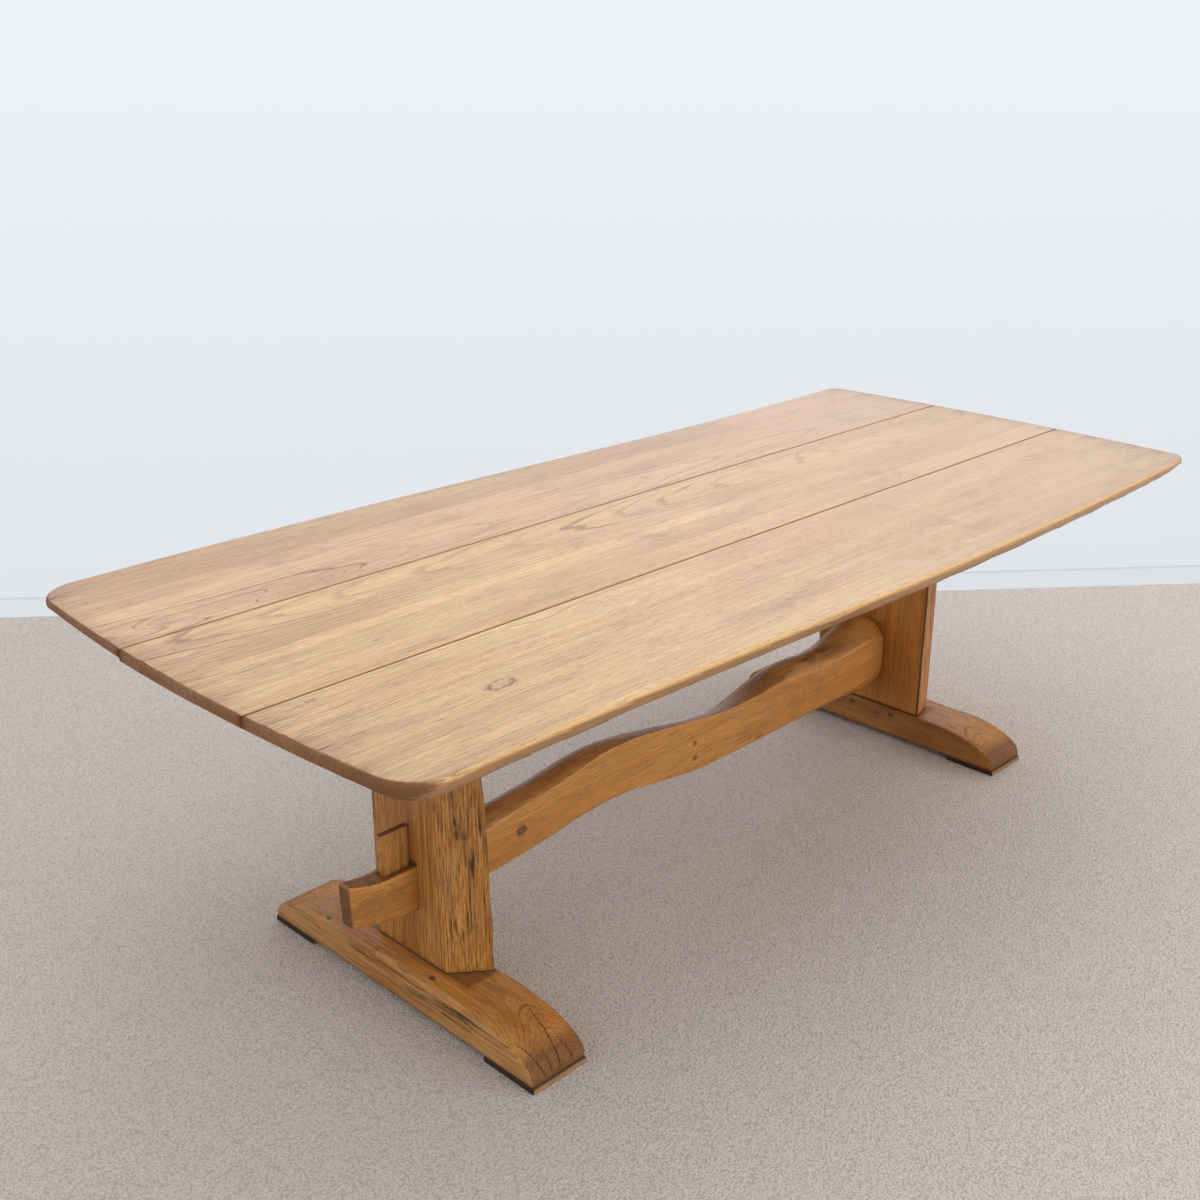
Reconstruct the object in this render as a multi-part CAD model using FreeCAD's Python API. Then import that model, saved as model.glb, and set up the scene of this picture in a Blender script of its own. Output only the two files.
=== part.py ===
"""Solid oak trestle dining table, in millimetres.

The top is three boards, each glued up from staves, with a narrow gap between
the boards. It is screwed to a bearer on each trestle and to a batten at its
middle. Each trestle is a slab post between its bearer and a sled foot on two
pads. A waney-edged stretcher joins the trestles: its tenons pass through the
posts, and a removable key through each tenon holds the joint tight.

X runs along the table, Y across it and Z up. The origin is on the floor,
under the middle of the top.
"""
import FreeCAD, Part
import math
import os

Vec = FreeCAD.Vector
X_AXIS = Vec(1, 0, 0)
Y_AXIS = Vec(0, 1, 0)
Z_AXIS = Vec(0, 0, 1)
LEFT = -1
RIGHT = 1
FRONT = -1
BACK = 1

# ---- fits ----
GLUE_FIT = 0.2            # round a glued stub tenon
KEY_FIT = 0.3             # round a sliding key
SCREW_FIT = 0.1           # round a screw, bolt or peg
CUT_EXTRA = 5.0           # how far a cutter runs past the face it opens
CLOSE = 0.1               # tolerance when an edge is looked for by its place

# ---- tabletop ----
TABLE_HEIGHT = 750.0
TOP_LENGTH = 2420.0
TOP_THICKNESS = 40.0
# Half widths of the waney sides, at even steps from the left end to the right.
BACK_HALF_WIDTHS = (543.0, 547.5, 528.5, 508.5, 518.5)
FRONT_HALF_WIDTHS = (536.5, 532.5, 547.5, 545.5, 519.5)
LEFT_END_BOW = 33.0       # how far the middle of an end stands past its corners
RIGHT_END_BOW = 22.0
LEFT_CORNER_RADIUS = 82.0
RIGHT_CORNER_RADIUS = 42.0
TOP_ARRIS_RADIUS = 8.0
UNDERCUT_WIDTH = 24.0     # the edge slants in under the top by this much
UNDERCUT_HEIGHT = 27.0
BOARD_GAP = 3.0
GAP_CHAMFER = 2.0
MIDDLE_BOARD_WIDTH = 360.0
MIDDLE_BOARD_Y = 10.0     # its middle line, back from the middle of the table
BACK_INNER_STAVE = 156.0
MIDDLE_BACK_STAVE = 178.0
MIDDLE_CENTRE_STAVE = 107.0
FRONT_INNER_STAVE = 129.0
FRONT_CENTRE_STAVE = 70.0

# ---- trestles ----
LEFT_TRESTLE_Y = -28.0    # each trestle stands a little off the middle line
RIGHT_TRESTLE_Y = 33.0

# ---- feet and pads ----
FOOT_LENGTH = 760.0
FOOT_WIDTH = 128.0
FOOT_HEIGHT = 71.0
FOOT_END_HEIGHT = 9.0
FOOT_FLAT_LENGTH = 400.0  # level part of the top of a foot
FOOT_ARRIS = 5.0
FOOT_RUN_STEPS = 8        # points along the round run to an end
FOOT_CENTRE_X = 790.0     # from the middle of the table
PAD_LENGTH = 130.0
PAD_THICKNESS = 12.0
PAD_PROUD = 3.0           # a pad shows past the end of its foot

# ---- posts ----
POST_THICKNESS = 72.0
POST_WIDTH = 314.0        # inner face
POST_LEDGE = 8.0          # inner face of the post in from the side of the foot
LEFT_POST_BEVEL = 57.0    # each narrow face slants in by this much
RIGHT_POST_BEVEL = 20.0
LEFT_POST_LEAN = 28.0     # waney front edge, measured at the head of the post
LEFT_POST_OUTER_LEAN = 45.0
STUB_WIDTH = 130.0        # stub tenons at both ends of a post
STUB_THICKNESS = 30.0
FOOT_STUB_LENGTH = 45.0
HEAD_STUB_LENGTH = 35.0

# ---- bearers and batten ----
BEARER_LENGTH = 860.0
BEARER_WIDTH = 100.0
BEARER_HEIGHT = 60.0
BEARER_END_HEIGHT = 34.0
BEARER_TAPER_LENGTH = 130.0
BATTEN_LENGTH = 860.0
BATTEN_WIDTH = 80.0
BATTEN_HEIGHT = 36.0
BATTEN_END_HEIGHT = 28.0
BATTEN_TAPER_LENGTH = 60.0

# ---- stretcher and keys ----
TENON_THICKNESS = 50.0
TENON_HEIGHT = 89.0
TENON_BOTTOM = 186.0      # above the floor
TENON_REACH = 148.0       # past the outer face of the post
TENON_TIP_RISE = 20.0
TENON_TIP_LEAN = 5.0
TENON_FRONT_TAPER = 4.0
TENON_BACK_TAPER = 14.0
TENON_STRAIGHT = 8.0      # straight part of the underside past the post
TENON_SAG = 4.0           # hollow of its upward curves
MORTISE_HEADROOM = 10.0   # left above the tenon, so that its raised tip goes in
MORTISE_FIT = 0.5
SHOULDER_LEFT = 5.0       # front face of the stretcher in front of its tenon
SHOULDER_RIGHT = 19.0
CROWN_Y = 15.0
BELLY_Y = 5.0
# Each line is one section of the stretcher: its place as a share of the half
# span, then the heights of the foot and the head of its sawn front face, of its
# crown and of its belly, and how far back its bark side reaches.
STRETCHER_SECTIONS = (
    (-1.00, 186.0, 280.0, 298.0, 190.0, 50.0),
    (-0.85, 187.0, 282.0, 306.0, 190.0, 51.0),
    (-0.70, 194.0, 297.0, 314.0, 196.0, 52.0),
    (-0.55, 205.0, 310.0, 324.0, 206.0, 51.0),
    (-0.40, 211.0, 326.0, 329.0, 211.0, 50.0),
    (-0.25, 201.0, 322.0, 311.0, 200.0, 48.0),
    (-0.08, 180.0, 305.0, 284.0, 178.0, 46.0),
    (0.10, 170.0, 286.0, 266.0, 164.0, 50.0),
    (0.25, 168.0, 280.0, 280.0, 156.0, 53.0),
    (0.40, 167.0, 274.0, 293.0, 150.0, 56.0),
    (0.70, 168.0, 265.0, 299.0, 140.0, 60.0),
    (1.00, 190.0, 262.0, 302.0, 130.0, 62.0),
)
KEY_THICKNESS = 14.0
KEY_WIDTH = 62.0
KEY_TAPER = 3.0           # narrower at its foot
KEY_STAND = 82.0          # above the tenon
KEY_SEAT = 6.0            # foot of the key above the underside of the tenon
KEY_CHAMFER = 2.0

# ---- fasteners ----
SCREW_DIAMETER = 5.0
SCREW_HEAD_DIAMETER = 12.0
SCREW_HEAD_HEIGHT = 3.5
SCREW_COUNTERBORE = 16.0
SCREW_GRIP = 26.0         # wood between the head and the top
SCREW_BITE = 25.0         # into the top
SCREW_OFFSETS = (90.0, 270.0, 395.0)
PAD_SCREW_DIAMETER = 4.0
PAD_SCREW_HEAD_DIAMETER = 8.0
PAD_SCREW_HEAD_HEIGHT = 3.0
PAD_SCREW_SINK = 3.0      # head up inside the pad
PAD_SCREW_BITE = 14.0
PAD_SCREW_SPACING = 70.0
COACH_DIAMETER = 12.0
COACH_HEAD_WIDTH = 19.0   # across flats
COACH_HEAD_HEIGHT = 8.0
COACH_COUNTERBORE = 34.0
COACH_COUNTERBORE_DEPTH = 22.0
COACH_BITE = 60.0         # into the post
COACH_OFFSET = 90.0
WASHER_DIAMETER = 30.0
WASHER_THICKNESS = 2.5
PEG_DIAMETER = 10.0
PEG_OFFSET = 35.0

# ---- places that follow from the sizes ----
TOP_UNDERSIDE = TABLE_HEIGHT - TOP_THICKNESS
HALF_LENGTH = TOP_LENGTH / 2
FOOT_TOP = PAD_THICKNESS + FOOT_HEIGHT
BEARER_UNDERSIDE = TOP_UNDERSIDE - BEARER_HEIGHT
POST_INNER_X = FOOT_CENTRE_X - FOOT_WIDTH / 2 + POST_LEDGE
POST_OUTER_X = POST_INNER_X + POST_THICKNESS
POST_CENTRE_X = (POST_INNER_X + POST_OUTER_X) / 2
TENON_TOP = TENON_BOTTOM + TENON_HEIGHT
TENON_TIP_X = POST_OUTER_X + TENON_REACH
KEY_INNER_X = POST_OUTER_X + KEY_FIT
KEY_BOTTOM = TENON_BOTTOM + KEY_SEAT
KEY_TOP = TENON_TOP + KEY_STAND

TRESTLE_Y = {LEFT: LEFT_TRESTLE_Y, RIGHT: RIGHT_TRESTLE_Y}

solids = {}


def box(x0, y0, z0, x1, y1, z1):
    """Box between two opposite corners, given in any order along X."""
    low_x = min(x0, x1)
    return Part.makeBox(abs(x1 - x0), y1 - y0, z1 - z0, Vec(low_x, y0, z0))


def prism(points, direction):
    """Solid swept from a flat polygon."""
    outline = Part.makePolygon(points + [points[0]])
    return Part.Face(outline).extrude(direction)


def bar_across(profile, x_middle, width):
    """Solid of the given width along X from a profile of (y, z) points."""
    x_start = x_middle - width / 2
    points = [Vec(x_start, y, z) for y, z in profile]
    return prism(points, X_AXIS * width)


def on_trestle(side, shape):
    """Move a shape made about y = 0 to the middle line of its trestle."""
    moved = shape.copy()
    moved.translate(Vec(0, TRESTLE_Y[side], 0))
    return moved


def upright(x, y, z, diameter, height):
    """Vertical cylinder standing on the point given."""
    return Part.makeCylinder(diameter / 2, height, Vec(x, y, z), Z_AXIS)


# ---- tabletop ----
def side_curve(half_widths, side):
    """Waney side of the top, from the left end to the right."""
    steps = len(half_widths) - 1
    end_inset = (LEFT_END_BOW, RIGHT_END_BOW)
    start = -HALF_LENGTH + end_inset[0]
    finish = HALF_LENGTH - end_inset[1]
    points = []
    for index, half_width in enumerate(half_widths):
        x = start + (finish - start) * index / steps
        points.append(Vec(x, side * half_width, TOP_UNDERSIDE))
    curve = Part.BSplineCurve()
    curve.interpolate(points)
    return curve.toShape(), points[0], points[-1]


def near(edge, test_point):
    """Whether an edge passes through a point."""
    return edge.distToShape(Part.Vertex(test_point))[0] < CLOSE


def tabletop_slab():
    """The whole top in one piece, before it is split into boards."""
    front_edge, front_left, front_right = side_curve(FRONT_HALF_WIDTHS, FRONT)
    back_edge, back_left, back_right = side_curve(BACK_HALF_WIDTHS, BACK)
    left_middle = Vec(-HALF_LENGTH, 0, TOP_UNDERSIDE)
    right_middle = Vec(HALF_LENGTH, 0, TOP_UNDERSIDE)
    left_edge = Part.Arc(back_left, left_middle, front_left).toShape()
    right_edge = Part.Arc(front_right, right_middle, back_right).toShape()
    outline = Part.Wire([front_edge, right_edge, back_edge, left_edge])
    slab = Part.Face(outline).extrude(Z_AXIS * TOP_THICKNESS)
    corners = (
        (front_left, LEFT_CORNER_RADIUS),
        (back_left, LEFT_CORNER_RADIUS),
        (front_right, RIGHT_CORNER_RADIUS),
        (back_right, RIGHT_CORNER_RADIUS),
    )
    half_up = Z_AXIS * (TOP_THICKNESS / 2)
    for corner, radius in corners:
        upright_edges = [e for e in slab.Edges if near(e, corner + half_up)]
        slab = slab.makeFillet(radius, upright_edges)
    under_face = min(slab.Faces, key=lambda face: face.CenterOfMass.z)
    slab = slab.makeChamfer(UNDERCUT_WIDTH, UNDERCUT_HEIGHT, under_face.Edges)
    upper_face = max(slab.Faces, key=lambda face: face.CenterOfMass.z)
    return slab.makeFillet(TOP_ARRIS_RADIUS, upper_face.Edges)


def gap_cutter(y_middle):
    """What a gap between two boards takes away, its softened arrises included."""
    reach = HALF_LENGTH + CUT_EXTRA
    half_gap = BOARD_GAP / 2
    mouth = half_gap + GAP_CHAMFER + CUT_EXTRA
    high = TABLE_HEIGHT + CUT_EXTRA
    profile = (
        (y_middle - half_gap, TOP_UNDERSIDE - CUT_EXTRA),
        (y_middle + half_gap, TOP_UNDERSIDE - CUT_EXTRA),
        (y_middle + half_gap, TABLE_HEIGHT - GAP_CHAMFER),
        (y_middle + mouth, high),
        (y_middle - mouth, high),
        (y_middle - half_gap, TABLE_HEIGHT - GAP_CHAMFER),
    )
    return bar_across(profile, 0, 2 * reach)


def make_staves():
    """The eight staves, each with the pilot holes of its screws."""
    slab = tabletop_slab()
    back_gap = MIDDLE_BOARD_Y + MIDDLE_BOARD_WIDTH / 2
    front_gap = MIDDLE_BOARD_Y - MIDDLE_BOARD_WIDTH / 2
    slab = slab.cut(gap_cutter(back_gap)).cut(gap_cutter(front_gap))
    for x, y in top_screw_places():
        pilot = upright(x, y, TOP_UNDERSIDE - CUT_EXTRA, SCREW_DIAMETER + 2 * SCREW_FIT,
                        SCREW_BITE + SCREW_FIT + CUT_EXTRA)
        slab = slab.cut(pilot)
    bounds = slab.BoundBox
    back_joint = back_gap + BACK_INNER_STAVE
    middle_back_joint = back_gap - MIDDLE_BACK_STAVE
    middle_front_joint = middle_back_joint - MIDDLE_CENTRE_STAVE
    front_inner_joint = front_gap - FRONT_INNER_STAVE
    front_outer_joint = front_inner_joint - FRONT_CENTRE_STAVE
    limits = (
        ("back_board_outer_stave", back_joint, bounds.YMax + CUT_EXTRA),
        ("back_board_inner_stave", back_gap, back_joint),
        ("middle_board_back_stave", middle_back_joint, back_gap),
        ("middle_board_centre_stave", middle_front_joint, middle_back_joint),
        ("middle_board_front_stave", front_gap, middle_front_joint),
        ("front_board_inner_stave", front_inner_joint, front_gap),
        ("front_board_centre_stave", front_outer_joint, front_inner_joint),
        ("front_board_outer_stave", bounds.YMin - CUT_EXTRA, front_outer_joint),
    )
    reach = HALF_LENGTH + CUT_EXTRA
    for name, y_low, y_high in limits:
        slot = box(-reach, y_low, TOP_UNDERSIDE - CUT_EXTRA, reach, y_high, TABLE_HEIGHT + CUT_EXTRA)
        solids[name] = slab.common(slot)


# ---- bearers, batten and their screws ----
def screw_row():
    """Y places of a row of top screws, about the middle of their bar."""
    return [side * offset for side in (FRONT, BACK) for offset in SCREW_OFFSETS]


def top_screw_places():
    """(x, y) of each screw that holds the top."""
    rows = (
        (-POST_CENTRE_X, LEFT_TRESTLE_Y),
        (0, 0),
        (POST_CENTRE_X, RIGHT_TRESTLE_Y),
    )
    return [(x, row_y + y) for x, row_y in rows for y in screw_row()]


def tapered_bar(x_middle, length, width, height, end_height, taper_length):
    """Bar under the top, its ends tapered from below."""
    half = length / 2
    level_half = half - taper_length
    profile = (
        (-half, TOP_UNDERSIDE),
        (half, TOP_UNDERSIDE),
        (half, TOP_UNDERSIDE - end_height),
        (level_half, TOP_UNDERSIDE - height),
        (-level_half, TOP_UNDERSIDE - height),
        (-half, TOP_UNDERSIDE - end_height),
    )
    bar = bar_across(profile, x_middle, width)
    seat = TOP_UNDERSIDE - SCREW_GRIP
    low = TOP_UNDERSIDE - height - CUT_EXTRA
    hole_top = TOP_UNDERSIDE + CUT_EXTRA
    for y in screw_row():
        bar = bar.cut(upright(x_middle, y, low, SCREW_COUNTERBORE, seat - low))
        bar = bar.cut(upright(x_middle, y, low, SCREW_DIAMETER + 2 * SCREW_FIT, hole_top - low))
    return bar


def top_screws(x_middle):
    """The row of screws up through one bearer or the batten."""
    seat = TOP_UNDERSIDE - SCREW_GRIP
    screws = []
    for y in screw_row():
        head = upright(x_middle, y, seat - SCREW_HEAD_HEIGHT, SCREW_HEAD_DIAMETER, SCREW_HEAD_HEIGHT)
        shank = upright(x_middle, y, seat, SCREW_DIAMETER, SCREW_GRIP + SCREW_BITE)
        screws.append(head.fuse(shank))
    return Part.makeCompound(screws)


def bearer_pegs(side, fit):
    """Pegs across a bearer, through the stub tenon of its post."""
    x_start = side * POST_CENTRE_X - BEARER_WIDTH / 2
    height = BEARER_UNDERSIDE + HEAD_STUB_LENGTH / 2
    return [Part.makeCylinder(PEG_DIAMETER / 2 + fit, BEARER_WIDTH, Vec(x_start, y, height), X_AXIS)
            for y in (-PEG_OFFSET, PEG_OFFSET)]


def stub(side, z_low, z_high, fit):
    """Stub tenon of a post, or with a fit the mortise that it goes in."""
    x = side * POST_CENTRE_X
    half_x = STUB_THICKNESS / 2 + fit
    half_y = STUB_WIDTH / 2 + fit
    return box(x - half_x, -half_y, z_low, x + half_x, half_y, z_high)


def make_bearers():
    for side, name in ((LEFT, "left"), (RIGHT, "right")):
        x = side * POST_CENTRE_X
        bearer = tapered_bar(x, BEARER_LENGTH, BEARER_WIDTH, BEARER_HEIGHT,
                             BEARER_END_HEIGHT, BEARER_TAPER_LENGTH)
        mortise_top = BEARER_UNDERSIDE + HEAD_STUB_LENGTH + GLUE_FIT
        bearer = bearer.cut(stub(side, BEARER_UNDERSIDE - CUT_EXTRA, mortise_top, GLUE_FIT))
        for hole in bearer_pegs(side, SCREW_FIT):
            bearer = bearer.cut(hole)
        solids[name + "_bearer"] = on_trestle(side, bearer)
        solids[name + "_bearer_screws"] = on_trestle(side, top_screws(x))
        solids[name + "_bearer_pegs"] = on_trestle(side, Part.makeCompound(bearer_pegs(side, 0)))
    solids["middle_batten"] = tapered_bar(0, BATTEN_LENGTH, BATTEN_WIDTH, BATTEN_HEIGHT,
                                          BATTEN_END_HEIGHT, BATTEN_TAPER_LENGTH)
    solids["middle_batten_screws"] = top_screws(0)


# ---- posts ----
def post_section(side, bevel, inner_lean, outer_lean, z):
    """Trapezium of a post in plan; its narrow faces slant in to the outer face."""
    half = POST_WIDTH / 2
    inner_x = side * POST_INNER_X
    outer_x = side * POST_OUTER_X
    points = [
        Vec(inner_x, -half + inner_lean, z),
        Vec(outer_x, -half + bevel + outer_lean, z),
        Vec(outer_x, half - bevel, z),
        Vec(inner_x, half, z),
    ]
    return Part.makePolygon(points + [points[0]])


def tenon_mortise(side):
    """Opening through a post for the tenon of the stretcher."""
    half = TENON_THICKNESS / 2 + MORTISE_FIT
    return box(side * (POST_INNER_X - CUT_EXTRA), -half, TENON_BOTTOM - KEY_FIT,
               side * (POST_OUTER_X + CUT_EXTRA), half, TENON_TOP + MORTISE_HEADROOM)


def coach_holes(side):
    """Clearance for the coach screws up through a foot into its post."""
    diameter = COACH_DIAMETER + 2 * SCREW_FIT
    top = FOOT_TOP + COACH_BITE + SCREW_FIT
    return [upright(side * POST_CENTRE_X, y, 0, diameter, top) for y in (-COACH_OFFSET, COACH_OFFSET)]


def make_posts():
    settings = (
        (LEFT, "left_post", LEFT_POST_BEVEL, LEFT_POST_LEAN, LEFT_POST_OUTER_LEAN),
        (RIGHT, "right_post", RIGHT_POST_BEVEL, 0.0, 0.0),
    )
    for side, name, bevel, lean, outer_lean in settings:
        foot_section = post_section(side, bevel, 0.0, 0.0, FOOT_TOP)
        head_section = post_section(side, bevel, lean, outer_lean, BEARER_UNDERSIDE)
        post = Part.makeLoft([foot_section, head_section], True, True)
        post = post.fuse(stub(side, FOOT_TOP - FOOT_STUB_LENGTH, FOOT_TOP, 0))
        post = post.fuse(stub(side, BEARER_UNDERSIDE, BEARER_UNDERSIDE + HEAD_STUB_LENGTH, 0))
        post = post.cut(tenon_mortise(side))
        for hole in coach_holes(side) + bearer_pegs(side, SCREW_FIT):
            post = post.cut(hole)
        solids[name] = on_trestle(side, post)


# ---- feet, pads and their fasteners ----
def foot_run(end):
    """Quarter-round upper line of a foot, from its level part down to one end."""
    flat_half = FOOT_FLAT_LENGTH / 2
    run = FOOT_LENGTH / 2 - flat_half
    end_z = PAD_THICKNESS + FOOT_END_HEIGHT
    drop = FOOT_TOP - end_z
    points = []
    for step in range(FOOT_RUN_STEPS + 1):
        angle = math.pi / 2 * step / FOOT_RUN_STEPS
        points.append(Vec(0, end * (flat_half + run * math.sin(angle)), end_z + drop * math.cos(angle)))
    curve = Part.BSplineCurve()
    curve.interpolate(Points=points, InitialTangent=Vec(0, end, 0), FinalTangent=Vec(0, 0, -1))
    return curve.toShape(), points[0], points[-1]


def foot_profile():
    """Side view of a foot: level in the middle, then a round run down to each end."""
    half = FOOT_LENGTH / 2
    front_run, front_flat, front_end = foot_run(FRONT)
    back_run, back_flat, back_end = foot_run(BACK)
    low_front = Vec(0, -half, PAD_THICKNESS)
    low_back = Vec(0, half, PAD_THICKNESS)
    edges = [
        Part.makeLine(low_front, low_back),
        Part.makeLine(low_back, back_end),
        back_run,
        Part.makeLine(back_flat, front_flat),
        front_run,
        Part.makeLine(front_end, low_front),
    ]
    return Part.Face(Part.Wire(Part.sortEdges(edges)[0]))


def foot_block(side):
    """Foot before its joints are cut, with softened long upper arrises."""
    x_start = side * FOOT_CENTRE_X - FOOT_WIDTH / 2
    foot = foot_profile().extrude(X_AXIS * FOOT_WIDTH)
    above_end = PAD_THICKNESS + FOOT_END_HEIGHT
    long_edges = []
    for edge in foot.Edges:
        extent = edge.BoundBox
        runs_along_y = extent.XLength < CLOSE < extent.YLength
        if runs_along_y and extent.ZMax > above_end + CLOSE:
            long_edges.append(edge)
    foot = foot.makeFillet(FOOT_ARRIS, long_edges)
    foot.translate(Vec(x_start, 0, 0))
    return foot


def pad_centres():
    """(end, y) of the pads of a foot."""
    offset = FOOT_LENGTH / 2 + PAD_PROUD - PAD_LENGTH / 2
    return ((FRONT, FRONT * offset), (BACK, BACK * offset))


def pad_screw_places(side):
    x = side * FOOT_CENTRE_X
    half = PAD_SCREW_SPACING / 2
    return [(x + shift, y) for _, y in pad_centres() for shift in (-half, half)]


def pad_screw(x, y, fit):
    """Screw up through a pad into the foot, or with a fit its hole."""
    head = upright(x, y, PAD_SCREW_SINK, PAD_SCREW_HEAD_DIAMETER + 2 * fit, PAD_SCREW_HEAD_HEIGHT)
    length = PAD_THICKNESS - PAD_SCREW_SINK + PAD_SCREW_BITE + fit
    return head.fuse(upright(x, y, PAD_SCREW_SINK, PAD_SCREW_DIAMETER + 2 * fit, length))


def coach_screw(side, y):
    """Hexagon-headed screw, its washer beside it, as two solids."""
    x = side * POST_CENTRE_X
    seat = PAD_THICKNESS + COACH_COUNTERBORE_DEPTH
    washer_low = seat - WASHER_THICKNESS
    head_low = washer_low - COACH_HEAD_HEIGHT
    corner = COACH_HEAD_WIDTH / math.sqrt(3)
    points = []
    for index in range(6):
        angle = math.radians(60 * index)
        points.append(Vec(x + corner * math.cos(angle), y + corner * math.sin(angle), head_low))
    head = prism(points, Z_AXIS * COACH_HEAD_HEIGHT)
    shank = upright(x, y, washer_low, COACH_DIAMETER, FOOT_TOP + COACH_BITE - washer_low)
    washer = upright(x, y, washer_low, WASHER_DIAMETER, WASHER_THICKNESS)
    washer = washer.cut(upright(x, y, 0, COACH_DIAMETER + 2 * SCREW_FIT, seat))
    return head.fuse(shank), washer


def make_feet():
    for side, name in ((LEFT, "left"), (RIGHT, "right")):
        foot = foot_block(side)
        stub_bottom = FOOT_TOP - FOOT_STUB_LENGTH - GLUE_FIT
        foot = foot.cut(stub(side, stub_bottom, FOOT_TOP + CUT_EXTRA, GLUE_FIT))
        for hole in coach_holes(side):
            foot = foot.cut(hole)
        for y in (-COACH_OFFSET, COACH_OFFSET):
            counterbore = upright(side * POST_CENTRE_X, y, PAD_THICKNESS - CUT_EXTRA, COACH_COUNTERBORE,
                                  COACH_COUNTERBORE_DEPTH + CUT_EXTRA)
            foot = foot.cut(counterbore)
        for x, y in pad_screw_places(side):
            foot = foot.cut(pad_screw(x, y, SCREW_FIT))
        solids[name + "_foot"] = on_trestle(side, foot)
        coach = [coach_screw(side, y) for y in (-COACH_OFFSET, COACH_OFFSET)]
        screws = Part.makeCompound([pair[0] for pair in coach])
        washers = Part.makeCompound([pair[1] for pair in coach])
        solids[name + "_foot_coach_screws"] = on_trestle(side, screws)
        solids[name + "_foot_washers"] = on_trestle(side, washers)
        for end, y in pad_centres():
            end_name = "front" if end == FRONT else "back"
            x = side * FOOT_CENTRE_X
            pad = box(x - FOOT_WIDTH / 2, y - PAD_LENGTH / 2, 0,
                      x + FOOT_WIDTH / 2, y + PAD_LENGTH / 2, PAD_THICKNESS)
            for screw_x, screw_y in pad_screw_places(side):
                pad = pad.cut(pad_screw(screw_x, screw_y, SCREW_FIT))
                open_below = upright(screw_x, screw_y, -CUT_EXTRA, PAD_SCREW_HEAD_DIAMETER + 2 * SCREW_FIT,
                                     PAD_SCREW_SINK + CUT_EXTRA)
                pad = pad.cut(open_below)
            solids[name + "_" + end_name + "_pad"] = on_trestle(side, pad)
        screws = Part.makeCompound([pad_screw(x, y, 0) for x, y in pad_screw_places(side)])
        solids[name + "_pad_screws"] = on_trestle(side, screws)


# ---- stretcher ----
def stretcher_section(share, foot_z, head_z, crown_z, belly_z, rear_y):
    """Closed section: a sawn front face and a round bark side."""
    x = share * POST_INNER_X
    way_along = (share + 1) / 2
    middle_y = LEFT_TRESTLE_Y + (RIGHT_TRESTLE_Y - LEFT_TRESTLE_Y) * way_along
    shoulder = SHOULDER_LEFT + (SHOULDER_RIGHT - SHOULDER_LEFT) * way_along
    front_y = middle_y - TENON_THICKNESS / 2 - shoulder
    foot_point = Vec(x, front_y, foot_z)
    head_point = Vec(x, front_y, head_z)
    bark = Part.BSplineCurve()
    bark.interpolate([
        head_point,
        Vec(x, middle_y + CROWN_Y, crown_z),
        Vec(x, middle_y + rear_y, (crown_z + belly_z) / 2),
        Vec(x, middle_y + BELLY_Y, belly_z),
        foot_point,
    ])
    return Part.Wire([Part.makeLine(foot_point, head_point), bark.toShape()])


def tenon(side):
    """Through tenon: level in the post, then rising and narrowing to its tip."""
    half = TENON_THICKNESS / 2
    bend_low = POST_OUTER_X + TENON_STRAIGHT
    bend_high = KEY_INNER_X + KEY_WIDTH + KEY_FIT
    tip_low = Vec(side * (TENON_TIP_X - TENON_TIP_LEAN), -half, TENON_BOTTOM + TENON_TIP_RISE)
    tip_high = Vec(side * TENON_TIP_X, -half, TENON_TOP + TENON_TIP_RISE)
    root_low = Vec(side * POST_INNER_X, -half, TENON_BOTTOM)
    root_high = Vec(side * POST_INNER_X, -half, TENON_TOP)
    low_bend = Vec(side * bend_low, -half, TENON_BOTTOM)
    high_bend = Vec(side * bend_high, -half, TENON_TOP)
    low_mid = (low_bend + tip_low) / 2 - Z_AXIS * TENON_SAG
    high_mid = (high_bend + tip_high) / 2 - Z_AXIS * TENON_SAG
    edges = [
        Part.makeLine(root_low, low_bend),
        Part.Arc(low_bend, low_mid, tip_low).toShape(),
        Part.makeLine(tip_low, tip_high),
        Part.Arc(tip_high, high_mid, high_bend).toShape(),
        Part.makeLine(high_bend, root_high),
        Part.makeLine(root_high, root_low),
    ]
    side_view = Part.Face(Part.Wire(edges)).extrude(Y_AXIS * TENON_THICKNESS)
    plan_low = TENON_BOTTOM - CUT_EXTRA
    plan = [
        Vec(side * POST_INNER_X, -half, plan_low),
        Vec(side * bend_high, -half, plan_low),
        Vec(side * TENON_TIP_X, -half + TENON_FRONT_TAPER, plan_low),
        Vec(side * TENON_TIP_X, half - TENON_BACK_TAPER, plan_low),
        Vec(side * bend_high, half, plan_low),
        Vec(side * POST_INNER_X, half, plan_low),
    ]
    plan_height = TENON_HEIGHT + TENON_TIP_RISE + 2 * CUT_EXTRA
    return side_view.common(prism(plan, Z_AXIS * plan_height))


def key_edge_x(z):
    """Where the slanting outer edge of a seated key is, at a height."""
    rise = (KEY_TOP - z) / (KEY_TOP - KEY_BOTTOM)
    return KEY_INNER_X + KEY_WIDTH - KEY_TAPER * rise


def key_slot(side):
    """Slot down through a tenon, as wide as its key needs and slanting with it."""
    half = KEY_THICKNESS / 2 + KEY_FIT
    low = TENON_BOTTOM - CUT_EXTRA
    high = TENON_TOP + TENON_TIP_RISE
    points = [
        Vec(side * (POST_OUTER_X - CUT_EXTRA), -half, low),
        Vec(side * (key_edge_x(low) + KEY_FIT), -half, low),
        Vec(side * (key_edge_x(high) + KEY_FIT), -half, high),
        Vec(side * (POST_OUTER_X - CUT_EXTRA), -half, high),
    ]
    return prism(points, Y_AXIS * (2 * half))


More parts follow.
